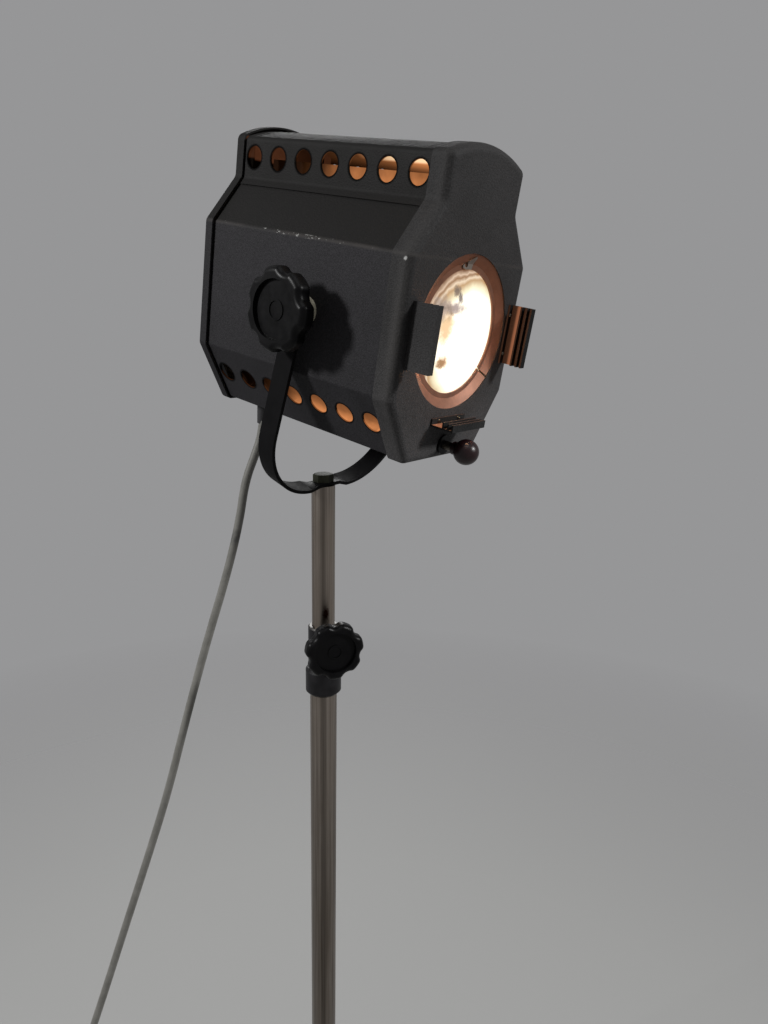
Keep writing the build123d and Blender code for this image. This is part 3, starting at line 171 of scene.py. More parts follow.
def mesh_object(name, verts, faces, smooth=True):
    """A new mesh object in the scene."""
    mesh = bpy.data.meshes.new(name)
    mesh.from_pydata([tuple(v) for v in verts], [], faces)
    mesh.validate()
    if smooth:
        mesh.shade_smooth()
        mesh.set_sharp_from_angle(angle=math.radians(40))
    made = bpy.data.objects.new(name, mesh)
    scene.collection.objects.link(made)
    return made


def tube(name, line, radius, sides=20):
    """A round tube along a line, closed at its ends, with frames carried along it."""
    verts, faces = [], []
    along = (line[1] - line[0]).normalized()
    side = along.orthogonal().normalized()
    for i, place in enumerate(line):
        ahead = line[min(i + 1, len(line) - 1)] - line[max(i - 1, 0)]
        ahead.normalize()
        side = (side - ahead * side.dot(ahead)).normalized()
        up = ahead.cross(side)
        for k in range(sides):
            angle = 2 * math.pi * k / sides
            verts.append(place + (side * math.cos(angle) + up * math.sin(angle)) * radius)
    for i in range(len(line) - 1):
        for k in range(sides):
            n = (k + 1) % sides
            faces.append((i * sides + k, i * sides + n, (i + 1) * sides + n, (i + 1) * sides + k))
    faces.append(tuple(reversed(range(sides))))
    last = (len(line) - 1) * sides
    faces.append(tuple(last + k for k in range(sides)))
    return mesh_object(name, verts, faces)


lead_line = nurbs_line([tuple(RELIEF_TIP), *LEAD_ROUTE, *coil_points(), *TAIL_ROUTE])
first_cut = next(i for i, p in enumerate(lead_line) if p.z < SWIVEL_CUT)
second_cut = next(i for i, p in enumerate(lead_line) if p.z < MAST_CUT)
stretches = {
    "lead_upper": (lead_line[: first_cut + 1], "head", "yoke", "lead_at_head", "object"),
    "lead_middle": (lead_line[first_cut : second_cut + 1], "yoke", "mast", "lead_at_mast", "object"),
    "lead_lower": (lead_line[second_cut:], "mast", "stand", "lead_to_floor", "plug"),
}
leads = []
for name, (line, above, below, node, far_end) in stretches.items():
    lead = tube(name, line, CORD_DIAMETER / 2)
    leads.append(lead)
    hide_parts(node)
    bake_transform(lead)
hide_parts("lead_coil")


# ---- Materials -----------------------------------------------------------------------------------
HEAD_PIVOT = (0, -0.060, 1.475)
HEAD_TILT = math.radians(9.1)


class Paint:
    """A Principled material and the nodes that feed it. Places are in metres, in the row frame."""

    def __init__(self, name, base, roughness, metallic=0.0, **fixed):
        self.made = bpy.data.materials.new(name)
        self.made.use_nodes = True
        self.tree = self.made.node_tree
        self.shader = self.tree.nodes["Principled BSDF"]
        self.set("Base Color", base)
        self.set("Roughness", roughness)
        self.set("Metallic", metallic)
        for socket, value in fixed.items():
            self.set(socket.replace("_", " "), value)
        self.row = self.node("TexCoord").outputs["Object"]

    def feed(self, socket, value):
        """Links an output into a socket, or writes a value there."""
        if isinstance(value, bpy.types.NodeSocket):
            self.tree.links.new(value, socket)
        elif isinstance(value, tuple) and len(value) == 3 and socket.type == "RGBA":
            socket.default_value = (*value, 1)
        else:
            socket.default_value = value

    def set(self, socket, value):
        self.feed(self.shader.inputs[socket], value)

    def node(self, kind, settings=None, **inputs):
        made = self.tree.nodes.new("ShaderNode" + kind)
        for name, value in (settings or {}).items():
            setattr(made, name, value)
        for name, value in inputs.items():
            self.feed(made.inputs[name.replace("_", " ")], value)
        return made

    def math(self, operation, a, b=0.0):
        made = self.node("Math", {"operation": operation})
        self.feed(made.inputs[0], a)
        self.feed(made.inputs[1], b)
        return made.outputs[0]

    def plus(self, a, b):
        return self.math("ADD", a, b)

    def minus(self, a, b):
        return self.math("SUBTRACT", a, b)

    def times(self, first, *others):
        for other in others:
            first = self.math("MULTIPLY", first, other)
        return first

    def hypotenuse(self, a, b):
        return self.math("SQRT", self.plus(self.times(a, a), self.times(b, b)))

    def head(self):
        """The lamp head's own frame: y runs back along the optical axis, z up from the pivots."""
        place = self.node(
            "Mapping", {"vector_type": "TEXTURE"}, Vector=self.row,
            Location=HEAD_PIVOT, Rotation=(HEAD_TILT, 0, 0),
        )
        return place.outputs[0]

    def head_normal(self):
        """The surface's direction in the lamp head's frame."""
        turned = self.node(
            "VectorRotate", {"rotation_type": "X_AXIS", "invert": True},
            Vector=self.node("TexCoord").outputs["Normal"], Angle=HEAD_TILT,
        )
        return turned.outputs[0]

    def split(self, vector):
        """The x, y and z of a vector."""
        return self.node("SeparateXYZ", Vector=vector).outputs

    def stretched(self, scale, vector=None):
        """Places multiplied by a scale along each axis."""
        return self.node("Mapping", Vector=vector or self.row, Scale=scale).outputs[0]

    def noise(self, scale, detail=4.0, rough=0.55, vector=None):
        made = self.node(
            "TexNoise", Vector=vector or self.row, Scale=scale, Detail=detail, Roughness=rough
        )
        return made.outputs["Fac"]

    def spot(self, place, centre, size, scale):
        """1 near a point, falling to 0 at size from it, with an outline that a noise makes ragged."""
        apart = self.node("VectorMath", {"operation": "DISTANCE"})
        self.feed(apart.inputs[0], place)
        self.feed(apart.inputs[1], centre)
        ragged = self.times(self.minus(self.noise(scale, 4, 0.7), 0.5), size * 1.6)
        return self.span(self.plus(apart.outputs["Value"], ragged), size, size * 0.4)

    def ramp(self, value, *stops):
        """Colours or greys at places from 0 to 1."""
        made = self.node("ValToRGB", Fac=value)
        marks = made.color_ramp.elements
        while len(marks) < len(stops):
            marks.new(0.5)
        for mark, (place, colour) in zip(marks, stops):
            mark.position = place
            mark.color = (*colour, 1) if isinstance(colour, tuple) else (colour, colour, colour, 1)
        return made.outputs["Color"]

    def span(self, value, low, high, to_low=0.0, to_high=1.0):
        """Maps low..high onto to_low..to_high, and stops there."""
        made = self.node(
            "MapRange", {"clamp": True}, Value=value, From_Min=low, From_Max=high,
            To_Min=to_low, To_Max=to_high,
        )
        return made.outputs[0]

    def blend(self, factor, a, b, kind="MIX"):
        """Colour a with as much of colour b as the factor says."""
        made = self.node("Mix", {"data_type": "RGBA", "blend_type": kind})
        self.feed(made.inputs["Factor"], factor)
        self.feed(made.inputs[6], a)
        self.feed(made.inputs[7], b)
        return made.outputs[2]

    def bump(self, height, depth, strength):
        self.set("Normal", self.node("Bump", Height=height, Distance=depth, Strength=strength).outputs[0])


def inside_out(paint, middle_z):
    """1 on the faces of a casing sheet that look inwards, towards the line at that height."""
    normal = paint.head_normal()
    x, _, z = paint.split(paint.head())
    reach = paint.node("CombineXYZ", X=x, Z=paint.minus(z, middle_z)).outputs[0]
    facing = paint.node("VectorMath", {"operation": "DOT_PRODUCT"})
    paint.feed(facing.inputs[0], normal)
    paint.feed(facing.inputs[1], reach)
    return paint.span(facing.outputs["Value"], 0.0, -0.01)


def grey(level, tint=(1.0, 1.0, 1.0)):
    """A grey of that level, a little tinted."""
    return tuple(level * share for share in tint)


COLD = (1.0, 0.95, 1.06)
BROWNISH = (1.0, 0.90, 0.84)
BLACK = (0.002, 0.002, 0.002)
WRINKLE_SCALE = 820
WRINKLE_DEPTH = 0.0005
WRINKLE_SHADES = (0.36, 0.72), (0.66, 1.35)
MOTTLE_SHADES = (0.3, 0.75), (0.7, 1.15)

# Places in the lamp head's own frame
VENT_BACK = 0.116  # the rearmost vents' y
VENT_PITCH = 0.032
UPPER_VENTS, LOWER_VENTS = 0.1177, -0.0795  # the rows' heights
LOWER_SLANT = 1.163  # the lower row's sheet slants, so its height is stretched by this
VENTED_END = 0.1285  # the vented sheets' rear edge
SHOULDER = 0.0588  # the height of the bend below the hood
HOOD_MIDDLE = 0.0945
HOOD_TOP = 0.137  # the height above which the rear pieces' inner faces stay plain
CORNER = (0.0849, -0.1004, 0.0555)  # where the shoulder meets the front bend


def vent_rim_shade(paint, y, z):
    """1 on the rolled-in rim round each vent of both rows, where shade is painted."""
    along = paint.math("PINGPONG", paint.minus(y, VENT_BACK), VENT_PITCH / 2)
    rim_shade = 0.0
    for middle, slant in ((UPPER_VENTS, 1.0), (LOWER_VENTS, LOWER_SLANT)):
        far = paint.hypotenuse(along, paint.times(paint.minus(z, middle), slant))
        rim_shade = paint.math("MAXIMUM", rim_shade, paint.span(far, 0.0118, 0.0103))
    return paint.times(rim_shade, paint.span(y, VENTED_END, VENTED_END - 0.001))


def casing_paint(name, inner_z=None, low=0.013, high=0.021, tint=COLD):
    """Anthracite wrinkle paint, darker and browner above its shoulders and chipped along them.

    Inner faces, seen from the line at height inner_z, catch the lamp's light.
    """
    paint = Paint(name, grey(low), 0.5, Specular_IOR_Level=0.16)
    place = paint.head()
    _, y, z = paint.split(place)
    cloud = paint.noise(16, 5, 0.65)
    wrinkle = paint.noise(WRINKLE_SCALE, 2, 0.6)
    base = paint.ramp(cloud, (0.3, grey(low, tint)), (0.7, grey(high, tint)))
    if name != "casing_front":
        # Above the shoulder the paint turns darker and browner
        tone = paint.ramp(cloud, (0.3, grey(0.0044, BROWNISH)), (0.7, grey(0.0068, BROWNISH)))
        base = paint.blend(paint.span(z, SHOULDER - 0.0013, SHOULDER + 0.0017), base, tone)
        # Painted shade: the rolled-in rim round each vent is painted near black, and made metallic so that
        # it sheds little highlight
        rim_shade = vent_rim_shade(paint, y, z)
        base = paint.blend(paint.times(rim_shade, 0.85), base, BLACK)
        paint.set("Metallic", rim_shade)
    else:
        # Painted light: the front is painted up to 2.2 times paler towards its bottom, as if lit from below
        painted_light_below = paint.ramp(paint.span(z, 0.0, -0.09), (0.0, 1.0), (1.0, 2.2))
        base = paint.blend(1.0, base, painted_light_below, "MULTIPLY")
    base = paint.blend(1.0, base, paint.ramp(wrinkle, *WRINKLE_SHADES), "MULTIPLY")
    # A pale line worn along each shoulder, with chips to bare metal where it is knocked most
    edge = paint.math("ABSOLUTE", paint.minus(z, SHOULDER))
    worn = paint.times(paint.span(edge, 0.0022, 0.0004), paint.ramp(cloud, (0.4, 0.15), (0.65, 0.75)))
    base = paint.blend(worn, base, grey(0.042, BROWNISH))
    flake = paint.noise(1.0, 3, 0.6, paint.stretched((330, 170, 420)))
    knocked = paint.ramp(
        paint.span(y, -0.06, 0.11), (0.0, 0.0), (0.25, 0.35), (0.36, 0.5), (0.62, 0.3), (1.0, 0.1)
    )
    chips = paint.span(paint.plus(flake, paint.times(knocked, 0.3)), 0.715, 0.75)
    chips = paint.times(chips, paint.span(edge, 0.0018, 0.0009))
    base = paint.blend(chips, base, (0.26, 0.26, 0.25))
    # A painted sheen and a dusty rubbing along the bend round the front, brightest half-way down, and a
    # chip at each corner
    bend = paint.times(paint.span(y, -0.0925, -0.0985), paint.span(y, -0.1064, -0.1035))
    height = paint.ramp(
        paint.span(z, -0.10, 0.10), (0.0, 0.12), (0.3, 0.5), (0.45, 1.0), (0.62, 0.8), (0.9, 0.25)
    )
    bend_sheen_and_dust = paint.times(bend, height, paint.ramp(wrinkle, (0.38, 0.45), (0.7, 0.65)))
    base = paint.blend(bend_sheen_and_dust, base, (0.052, 0.049, 0.047))
    for side in (-1, 1):
        chip = paint.spot(place, (side * CORNER[0], *CORNER[1:]), 0.0017, 300)
        base = paint.blend(chip, base, (0.40, 0.40, 0.39))
    paint.set("Roughness", paint.ramp(cloud, (0.25, 0.60), (0.75, 0.74)))
    paint.bump(wrinkle, WRINKLE_DEPTH, 0.8)
    if inner_z is not None:
        inner = inside_out(paint, inner_z)
        base = paint.blend(inner, base, (0.03, 0.012, 0.006))
        glow = paint.ramp(
            paint.span(y, 0.12, -0.09), (0.0, 0.012), (0.2, 0.03), (0.38, 0.07), (0.54, 0.18), (1.0, 0.34)
        )
        if name == "casing_hood":  # its roof is lit palest, and the walls below fade downwards
            roof = paint.times(paint.span(z, 0.1338, 0.1354), paint.span(y, 0.08, 0.04))
            wall = paint.ramp(paint.span(z, 0.1275, 0.1340), (0.0, 0.45), (0.35, 1.1), (1.0, 3.0))
            glow = paint.plus(paint.times(glow, wall), paint.times(roof, 0.55))
            paint.set("Emission Color", paint.blend(roof, (1.0, 0.36, 0.12), (1.0, 0.66, 0.38)))
        else:
            paint.set("Emission Color", (1.0, 0.34, 0.11))
        paint.set("Emission Strength", paint.times(inner, glow))
    paint.set("Base Color", base)
    return paint


def rear_paint(name, nearest_y, furthest_y, facing, glow):
    """Casing paint whose faces behind the hood's vents are painted black as shade, with a painted brown
    glow of the lamp's light above a level.

    Those faces lie between two places along y, and look along it as facing says. glow is its strength
    across the head.
    """
    paint = casing_paint(name, None, 0.011, 0.017)
    x, y, z = paint.split(paint.head())
    _, ny, _ = paint.split(paint.head_normal())
    inside = paint.times(
        paint.span(y, nearest_y, nearest_y + 0.001), paint.span(y, furthest_y, furthest_y - 0.001),
        paint.span(ny, *facing), paint.span(z, HOOD_TOP, HOOD_TOP - 0.001), paint.span(z, 0.1035, 0.1045),
    )
    # Painted shade: the faces behind the vents are near black, and made metallic so that they shed little
    # highlight
    painted = paint.shader.inputs["Base Color"].links[0].from_socket
    paint.set("Base Color", paint.blend(inside, painted, (0.002, 0.0015, 0.001)))
    paint.set("Metallic", inside)
    across = paint.ramp(paint.span(x, -0.05, 0.05), *glow)
    above = paint.span(z, 0.1165, 0.1185, 0.004, 1.0)
    mottle = paint.ramp(paint.noise(90, 4), *MOTTLE_SHADES)
    paint.set("Emission Color", (1.0, 0.34, 0.15))
    paint.set("Emission Strength", paint.times(inside, across, above, mottle))
    return paint.made


def runner_paint(name, low, high, facing, web, reach):
    """A colour-frame runner whose slots take the lens's orange light, most on their web.

    facing is the axis and sign that its lit faces look along, web the web's distance along it from the
    optical axis, and reach the axis and the two places between which the light grows.
    """
    paint = Paint(name, grey(low), 0.6, Specular_IOR_Level=0.1)
    place = paint.split(paint.head())
    normal = paint.split(paint.head_normal())
    cloud = paint.noise(60, 4, 0.6)
    wrinkle = paint.noise(WRINKLE_SCALE, 2, 0.6)
    base = paint.ramp(cloud, (0.3, grey(low)), (0.7, grey(high)))
    paint.set("Base Color", paint.blend(1.0, base, paint.ramp(wrinkle, *WRINKLE_SHADES), "MULTIPLY"))
    paint.bump(wrinkle, WRINKLE_DEPTH, 0.8)
    axis, sign = facing
    lit = paint.span(paint.times(normal[axis], sign), 0.5, 0.9)
    on_web = paint.span(paint.times(place[axis], -sign), web, web + 0.001)
    along, marks = reach
    strip = paint.ramp(paint.span(place[along], *marks), (0.0, 0.02), (0.4, 0.05), (0.6, 0.26), (1.0, 0.32))
    strip = paint.times(strip, paint.span(place[1], -0.1195, -0.1185, 0.04, 1.0))
    glow = paint.math("MAXIMUM", paint.times(on_web, strip), 0.035)
    paint.set("Emission Color", (1.0, 0.36, 0.17))
    paint.set("Emission Strength", paint.times(lit, glow))
    return paint.made


def trap_paint():
    """Dull inner sheet lit by the lamp: bright towards the lens, dark at the back."""
    paint = Paint("light_trap", (0.015, 0.007, 0.004), 0.8, Specular_IOR_Level=0.0)
    _, y, z = paint.split(paint.head())
    back = paint.span(y, 0.12, -0.10)  # 0 at the back, 1 at the front
    upper = paint.times(
        paint.ramp(
            back, (0.0, 0.002), (0.22, 0.006), (0.30, 0.045), (0.36, 0.06), (0.42, 0.27), (0.58, 0.40),
            (0.8, 0.43), (1.0, 0.36),
        ),
        paint.span(z, 0.1185, 0.105, 0.85, 1.35),
        paint.span(z, 0.0, 0.01),
    )
    lower = paint.times(
        paint.ramp(
            back, (0.0, 0.0), (0.12, 0.002), (0.2, 0.006), (0.28, 0.05), (0.36, 0.10), (0.43, 0.34),
            (0.6, 0.44), (1.0, 0.40),
        ),
        paint.ramp(paint.span(z, -0.070, -0.092), (0.0, 0.25), (0.5, 0.7), (1.0, 2.0)),
        paint.span(z, 0.01, 0.0),
    )
    glow = paint.math("MAXIMUM", upper, lower)
    mottle = paint.ramp(paint.noise(75, 4), *MOTTLE_SHADES)
    paint.set("Emission Color", (1.0, 0.37, 0.13))
    paint.set("Emission Strength", paint.times(glow, mottle))
    return paint.made


STRIPE_SIDE = (0.697, -0.717)  # the direction across the stripe on the tubes
RUST_MARK = (-0.0069, -0.0104, 1.160)
RUST_SQUEEZE = 0.45  # heights are multiplied by this for it, so that it is taller than it is wide


def steel_tube(name, low, high):
    """Drawn steel tube: streaks along it, brownish film and small stains."""
    paint = Paint(name, (0.4, 0.37, 0.33), 0.35, 1.0)
    streak = paint.noise(1.0, 5, 0.6, paint.stretched((420, 420, 5)))
    film = paint.noise(9, 5, 0.6, paint.stretched((1, 1, 0.35)))
    base = paint.ramp(streak, (0.3, low), (0.72, high))
    base = paint.blend(paint.ramp(film, (0.42, 0.0), (0.7, 0.5)), base, (0.17, 0.13, 0.095))
    spots = paint.ramp(paint.noise(210, 4, 0.7), (0.70, 0.0), (0.76, 0.8))
    base = paint.blend(spots, base, (0.07, 0.04, 0.025))
    # A painted reflection, a dark stripe down the tubes' left front, and a rust mark over the collar
    x, y, z = paint.split(paint.row)
    across = paint.plus(paint.times(x, STRIPE_SIDE[0]), paint.times(y, STRIPE_SIDE[1]))
    ragged = paint.times(paint.minus(film, 0.5), 0.006)
    reflection_stripe = paint.span(paint.math("ABSOLUTE", paint.plus(across, ragged)), 0.0042, 0.0008)
    reflection_stripe = paint.times(reflection_stripe, paint.span(paint.plus(x, y), 0.0, -0.004, 0.0, 0.55))
    base = paint.blend(reflection_stripe, base, (0.055, 0.045, 0.036))
    mark = (*RUST_MARK[:2], RUST_MARK[2] * RUST_SQUEEZE)
    rust = paint.spot(paint.stretched((1, 1, RUST_SQUEEZE)), mark, 0.0042, 260)
    base = paint.blend(rust, base, (0.035, 0.012, 0.008))
    low_down = paint.ramp(paint.span(z, 1.10, 0.80), (0.0, 1.0), (1.0, 0.62))
    base = paint.blend(1.0, base, low_down, "MULTIPLY")
    paint.set("Base Color", base)
    paint.set("Roughness", paint.ramp(streak, (0.3, 0.45), (0.7, 0.28)))
    paint.bump(streak, 0.00008, 0.5)
    return paint.made


def satin_black(name, shade, roughness, bump_scale=500, **fixed):
    """Black paint or moulding with a little dust and grain."""
    paint = Paint(name, grey(shade, COLD), roughness, **fixed)
    tone = paint.noise(60, 6, 0.7)
    paint.set("Base Color", paint.ramp(tone, (0.4, grey(shade, COLD)), (0.8, grey(shade * 2.2, COLD))))
    paint.set("Roughness", paint.ramp(tone, (0.35, roughness * 0.85), (0.75, roughness * 1.3)))
    paint.bump(paint.noise(bump_scale, 3, 0.6), 0.00012, 0.4)
    return paint.made


def lens_glass():
    """The lit lens: white, amber at one side of its rim, with dim shapes of the lamp behind it."""
    paint = Paint("lit_lens", (0.06, 0.05, 0.04), 0.08, 0.0, IOR=1.5)
    place = paint.node("VectorMath", {"operation": "MULTIPLY"}, Vector=paint.head())
    paint.feed(place.inputs[1], (1, 0, 1))
    place = place.outputs[0]
    x, _, z = paint.split(place)
    radius = paint.hypotenuse(x, z)
    wobble = paint.times(paint.minus(paint.noise(45, 3), 0.5), 0.010)
    lean = paint.minus(paint.times(x, 0.85), paint.times(z, 0.5))
    from_left = paint.span(lean, 0.030, -0.024, -0.022, 0.0)
    far = paint.plus(paint.plus(radius, wobble), from_left)
    rim = paint.span(far, 0.030, 0.0525)
    rings = [  # place on the rim, its colour and its strength
        (0.0, (1.0, 0.94, 0.76), 1.0),
        (0.3, (1.0, 0.86, 0.56), 0.62),
        (0.5, (0.92, 0.56, 0.27), 0.42),
        (0.62, (1.0, 0.80, 0.58), 0.62),
        (0.74, (0.66, 0.34, 0.15), 0.34),
        (0.84, (0.95, 0.70, 0.50), 0.55),
        (1.0, (0.55, 0.26, 0.12), 0.25),
    ]
    colour = paint.ramp(rim, *((mark, shade) for mark, shade, _ in rings))
    strength = paint.ramp(rim, *((mark, level) for mark, _, level in rings))
    shapes = [  # centre, squeeze, size, the outline's noise scale, colour and how much each one dims
        ((-0.0125, 0, 0.0345), (0.8, 1, 0.8), 0.0044, 260, (0.60, 0.44, 0.32), 0.55),
        ((-0.0080, 0, 0.0290), (1.0, 1, 0.7), 0.0040, 260, (0.50, 0.43, 0.38), 0.62),
        ((-0.0170, 0, 0.0205), (0.32, 1, 1), 0.0056, 190, (0.66, 0.54, 0.50), 0.52),
        ((-0.0290, 0, 0.0190), (0.7, 1, 0.8), 0.0100, 120, (0.86, 0.66, 0.54), 0.42),
        ((-0.0200, 0, -0.0245), (0.7, 1, 1), 0.0060, 200, (0.66, 0.36, 0.16), 0.62),
        ((-0.0250, 0, 0.0060), (0.8, 1, 0.8), 0.0110, 90, (1.0, 0.70, 0.40), 0.34),
    ]
    for centre, squeeze, size, scale, shade, dim in shapes:
        squeezed = tuple(c * share for c, share in zip(centre, squeeze))
        patch = paint.spot(paint.stretched(squeeze, place), squeezed, size, scale)
        colour = paint.blend(patch, colour, shade)
        strength = paint.times(strength, paint.minus(1.0, paint.times(patch, dim)))
    paint.set("Emission Color", colour)
    paint.set("Emission Strength", paint.times(strength, 1.35))
    return paint.made


def ring_metal():
    """Copper-brown lacquered strip, paler below where the lamp's light falls on it."""
    paint = Paint("split_ring", (0.3, 0.15, 0.09), 0.42, 0.55)
    _, _, z = paint.split(paint.head())
    base = paint.ramp(
        paint.span(z, -0.066, 0.066),
        (0.0, (0.24, 0.125, 0.085)), (0.35, (0.27, 0.125, 0.078)), (1.0, (0.15, 0.06, 0.03)),
    )
    film = paint.ramp(paint.noise(90, 5, 0.65), (0.35, 0.8), (0.7, 1.12))
    paint.set("Base Color", paint.blend(1.0, base, film, "MULTIPLY"))
    paint.bump(paint.noise(500, 3), 0.0001, 0.4)
    return paint.made


def cord_cover():
    """Off-white plastic lead, greyed by handling, darker in a band below the head."""
    paint = Paint("lead_cover", (0.5, 0.49, 0.46), 0.5)
    grime = paint.noise(35, 5, 0.65)
    base = paint.ramp(grime, (0.3, (0.120, 0.117, 0.105)), (0.65, (0.185, 0.18, 0.164)))
    _, _, z = paint.split(paint.row)
    mark = paint.span(paint.math("ABSOLUTE", paint.minus(z, 1.235)), 0.010, 0.004)
    dark_band = paint.times(mark, paint.ramp(paint.noise(160, 4), (0.35, 0.2), (0.6, 0.85)))
    paint.set("Base Color", paint.blend(dark_band, base, (0.05, 0.05, 0.05)))
    paint.bump(paint.noise(300, 3), 0.0001, 0.4)
    return paint.made


def collar_paint():
    """Dark satin paint over steel, bare on the neck's top edge."""
    paint = Paint("collar_paint", grey(0.02, COLD), 0.42, Specular_IOR_Level=0.2)
    _, _, z = paint.split(paint.row)
    neck_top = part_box("clamp_collar")[1].z
    top = paint.span(z, neck_top - 0.0020, neck_top - 0.0012)
    tone = paint.noise(70, 5, 0.7)
    base = paint.ramp(tone, (0.4, grey(0.006, COLD)), (0.8, grey(0.017, COLD)))
    paint.set("Base Color", paint.blend(top, base, (0.085, 0.082, 0.078)))
    paint.set("Metallic", top)
    paint.set("Roughness", paint.ramp(tone, (0.35, 0.36), (0.75, 0.5)))
    paint.bump(paint.noise(450, 3, 0.6), 0.0002, 0.5)
    return paint.made


def plain_detail(name, low, high, roughness, metallic=0.0, **fixed):
    """A colour that drifts between two shades, with a fine grain."""
    paint = Paint(name, low, roughness, metallic, **fixed)
    cloud = paint.noise(80, 5, 0.6)
    paint.set("Base Color", paint.ramp(cloud, (0.3, low), (0.7, high)))
    paint.set("Roughness", paint.ramp(cloud, (0.3, roughness * 0.85), (0.7, min(1.0, roughness * 1.2))))
    paint.bump(paint.noise(640, 3), 0.0001, 0.4)
    return paint.made


SHELL = casing_paint("casing_side", 0.0).made
HOOD = casing_paint("casing_hood", HOOD_MIDDLE).made
FRONT = casing_paint("casing_front", None, 0.017, 0.026, (1.0, 0.96, 0.97)).made
REAR = rear_paint(
    "casing_rear", 0.1375, 0.1425, (-0.4, -0.6),
    ((0.03, 0.0), (0.08, 0.075), (0.45, 0.065), (0.78, 0.02), (1.0, 0.012)),
)
REAR_FRAME = rear_paint("rear_frame_paint", 0.10, VENTED_END, (0.9, 0.7), ((0.0, 0.05), (1.0, 0.05)))
# Painted shade: the right runner takes a much darker copy of the runners' paint, for its faces in shade
RIGHT_RUNNER = runner_paint("right_runner_paint", 0.004, 0.008, (0, -1), 0.0715, (1, (-0.109, -0.1175)))
BOTTOM_RUNNER = runner_paint("bottom_runner_paint", 0.014, 0.022, (2, 1), 0.0755, (0, (0.004, -0.022)))
STEEL = steel_tube("drawn_steel", (0.165, 0.14, 0.118), (0.42, 0.37, 0.325))
DARK_STEEL = steel_tube("dark_steel", (0.035, 0.033, 0.028), (0.10, 0.098, 0.085))
COLLAR = collar_paint()
YOKE = satin_black("yoke_paint", 0.0030, 0.60, Specular_IOR_Level=0.06)
BAKELITE = satin_black("black_moulding", 0.0016, 0.36, 300, Specular_IOR_Level=0.12)
RUBBER = satin_black("rubber", 0.014, 0.65, 700)
BOLT = plain_detail(
    "bolt_black", (0.010, 0.011, 0.007), (0.026, 0.027, 0.018), 0.62, Specular_IOR_Level=0.1
)
INNER = plain_detail("inner_paint", (0.03, 0.028, 0.026), (0.05, 0.045, 0.04), 0.6)
MAROON = plain_detail(
    "maroon_moulding", (0.008, 0.0025, 0.003), (0.015, 0.004, 0.005), 0.30, Specular_IOR_Level=0.35
)
CREAM = plain_detail("cream_spacer", (0.45, 0.42, 0.32), (0.62, 0.58, 0.46), 0.5)
CERAMIC = plain_detail("ceramic", (0.62, 0.60, 0.54), (0.74, 0.72, 0.66), 0.35)
BRASS = plain_detail("brass", (0.55, 0.40, 0.16), (0.68, 0.52, 0.24), 0.35, 1.0)
MIRROR = plain_detail("mirror", (0.75, 0.75, 0.74), (0.85, 0.85, 0.84), 0.08, 1.0)
CORD = cord_cover()
BULB = Paint("lit_bulb", (1, 0.9, 0.7), 0.3, Emission_Color=(1.0, 0.85, 0.55), Emission_Strength=4.0).made

DRESS = {
    SHELL: "body_shell",
    HOOD: "vent_hood",
    REAR: "rear_cover",
    REAR_FRAME: "rear_frame",
    FRONT: "front_cap left_runner rear_hinge_leaf cover_hinge_leaf",
    RIGHT_RUNNER: "right_runner",
    BOTTOM_RUNNER: "bottom_runner",
    trap_paint(): "light_traps",
    lens_glass(): "lens",
    ring_metal(): "lens_ring",
    STEEL: "mast_tube column_tube leg_1 leg_2 leg_3 slide_rails ring_clip",
    COLLAR: "clamp_collar",
    DARK_STEEL: "leg_hub leg_pins runner_rivets pivot_studs far_lock_nut tilt_washer "
    "clamp_screw focus_rod rear_hinge_pin cover_thumbscrew",
    YOKE: "yoke_strap",
    BAKELITE: "tilt_knob clamp_knob mains_plug cable_gland rod_bush",
    RUBBER: "leg_foot_1 leg_foot_2 leg_foot_3 column_end_cap strain_relief",
    BOLT: "yoke_bolt",
    INNER: "lens_seat pivot_plates rail_brackets lamp_carriage reflector_stay",
    MAROON: "focus_ball",
    CREAM: "pivot_spacers",
    CERAMIC: "lamp_holder terminal_block",
    BRASS: "plug_pins",
    MIRROR: "reflector",
    BULB: "lamp_bulb",
}


def wear(piece, material):
    """Gives a piece one material."""
    piece.data.materials.clear()
    piece.data.materials.append(material)


def dress_node(name, material):
    """Gives a CAD node its material on the object's own slots, so its mesh stays as it is."""
    for entry in NODES[name].material_slots:
        entry.link = "OBJECT"
        entry.material = material


for material, names in DRESS.items():
    for name in names.split():
        dress_node(name, material)
for lead in leads:
    wear(lead, CORD)


# ---- Light and backdrop --------------------------------------------------------------------------
def add_light(name, place, target, size, power, colour=(1, 1, 1)):
    """A square soft light that looks at target."""
    data = bpy.data.lights.new(name, "AREA")
    data.size = size
    data.energy = power
    data.color = colour
    lamp = bpy.data.objects.new(name, data)
    lamp.location = place
    lamp.rotation_euler = (Vector(target) - Vector(place)).to_track_quat("-Z", "Y").to_euler()
    scene.collection.objects.link(lamp)
    return lamp


STUDIO = [  # name, place, target, size and power
    ("key", (-2.18, 1.08, 2.565), (-0.11, -0.06, 1.475), 0.35, 62),
    ("front", (0.91, -2.29, 2.62), (0, -0.17, 1.42), 0.35, 55),
    ("top", (-0.6, -0.8, 3.6), (0, 0, 1.2), 1.6, 10),
    ("back", (1.6, 1.8, 2.4), (0, 0, 1.2), 1.2, 30),
]
for studio_light in STUDIO:
    add_light(*studio_light)
# The lamp's own light falls on the metal round its lens, and turns with the head
glow = add_light("lamp_glow", (0.0, -0.1746, 1.4446), (0, -1, 1.4), 0.05, 0.10, (1.0, 0.5, 0.25))
glow.data.type = "POINT"
glow.data.shadow_soft_size = 0.004
glow.visible_camera = False
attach(glow, "head")

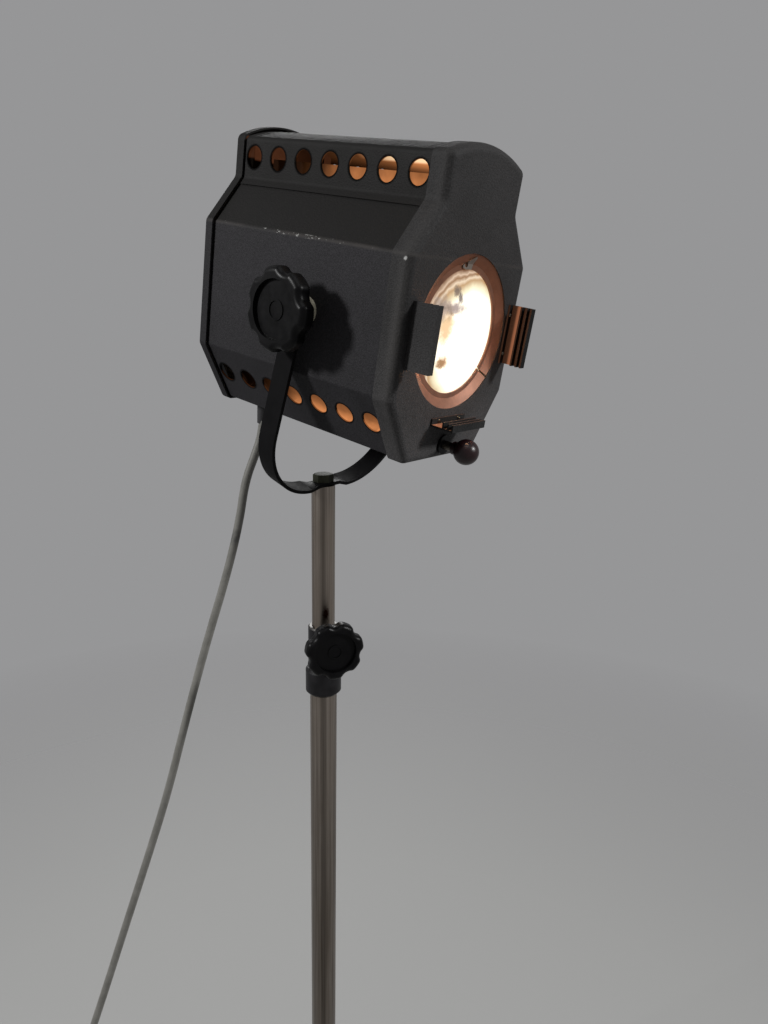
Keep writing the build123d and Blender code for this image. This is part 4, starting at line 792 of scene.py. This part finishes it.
BACKDROP = (0.305, 0.305, 0.31)
SURROUND = 0.16  # the strength of the soft white light from all round
FLOOR_HALF = 6.0


def pale_world():
    """A soft white surrounding that the camera, mirrors and glass see as a plain pale grey."""
    world = bpy.data.worlds.new("studio")
    scene.world = world
    world.use_nodes = True
    tree = world.node_tree
    tree.nodes.clear()
    path = tree.nodes.new("ShaderNodeLightPath")
    lit = tree.nodes.new("ShaderNodeBackground")
    lit.inputs["Color"].default_value = (1, 1, 1, 1)
    lit.inputs["Strength"].default_value = SURROUND
    seen = tree.nodes.new("ShaderNodeBackground")
    seen.inputs["Color"].default_value = (*BACKDROP, 1)
    mix = tree.nodes.new("ShaderNodeMixShader")
    out = tree.nodes.new("ShaderNodeOutputWorld")
    either = path.outputs["Is Camera Ray"]
    for ray in ("Is Transmission Ray", "Is Glossy Ray"):
        more = tree.nodes.new("ShaderNodeMath")
        more.operation = "MAXIMUM"
        tree.links.new(either, more.inputs[0])
        tree.links.new(path.outputs[ray], more.inputs[1])
        either = more.outputs[0]
    tree.links.new(either, mix.inputs["Fac"])
    tree.links.new(lit.outputs[0], mix.inputs[1])
    tree.links.new(seen.outputs[0], mix.inputs[2])
    tree.links.new(mix.outputs[0], out.inputs[0])


def fading_floor():
    """A pale floor that keeps the shadows near the stand and fades into the backdrop further out."""
    paint = Paint("pale_floor", (0.34, 0.34, 0.335), 0.7)
    apart = paint.node("VectorMath", {"operation": "LENGTH"}, Vector=paint.row)
    far = paint.span(apart.outputs["Value"], 1.0, 2.6)
    clear = paint.node("BsdfTransparent").outputs[0]
    mix = paint.node("MixShader", Fac=far)
    paint.feed(mix.inputs[1], paint.shader.outputs[0])
    paint.feed(mix.inputs[2], clear)
    paint.feed(paint.tree.nodes["Material Output"].inputs["Surface"], mix.outputs[0])
    return paint.made


pale_world()
corners = [(x * FLOOR_HALF, y * FLOOR_HALF, 0) for x, y in ((-1, -1), (1, -1), (1, 1), (-1, 1))]
floor = mesh_object("floor", corners, [(0, 1, 2, 3)], smooth=False)
wear(floor, fading_floor())
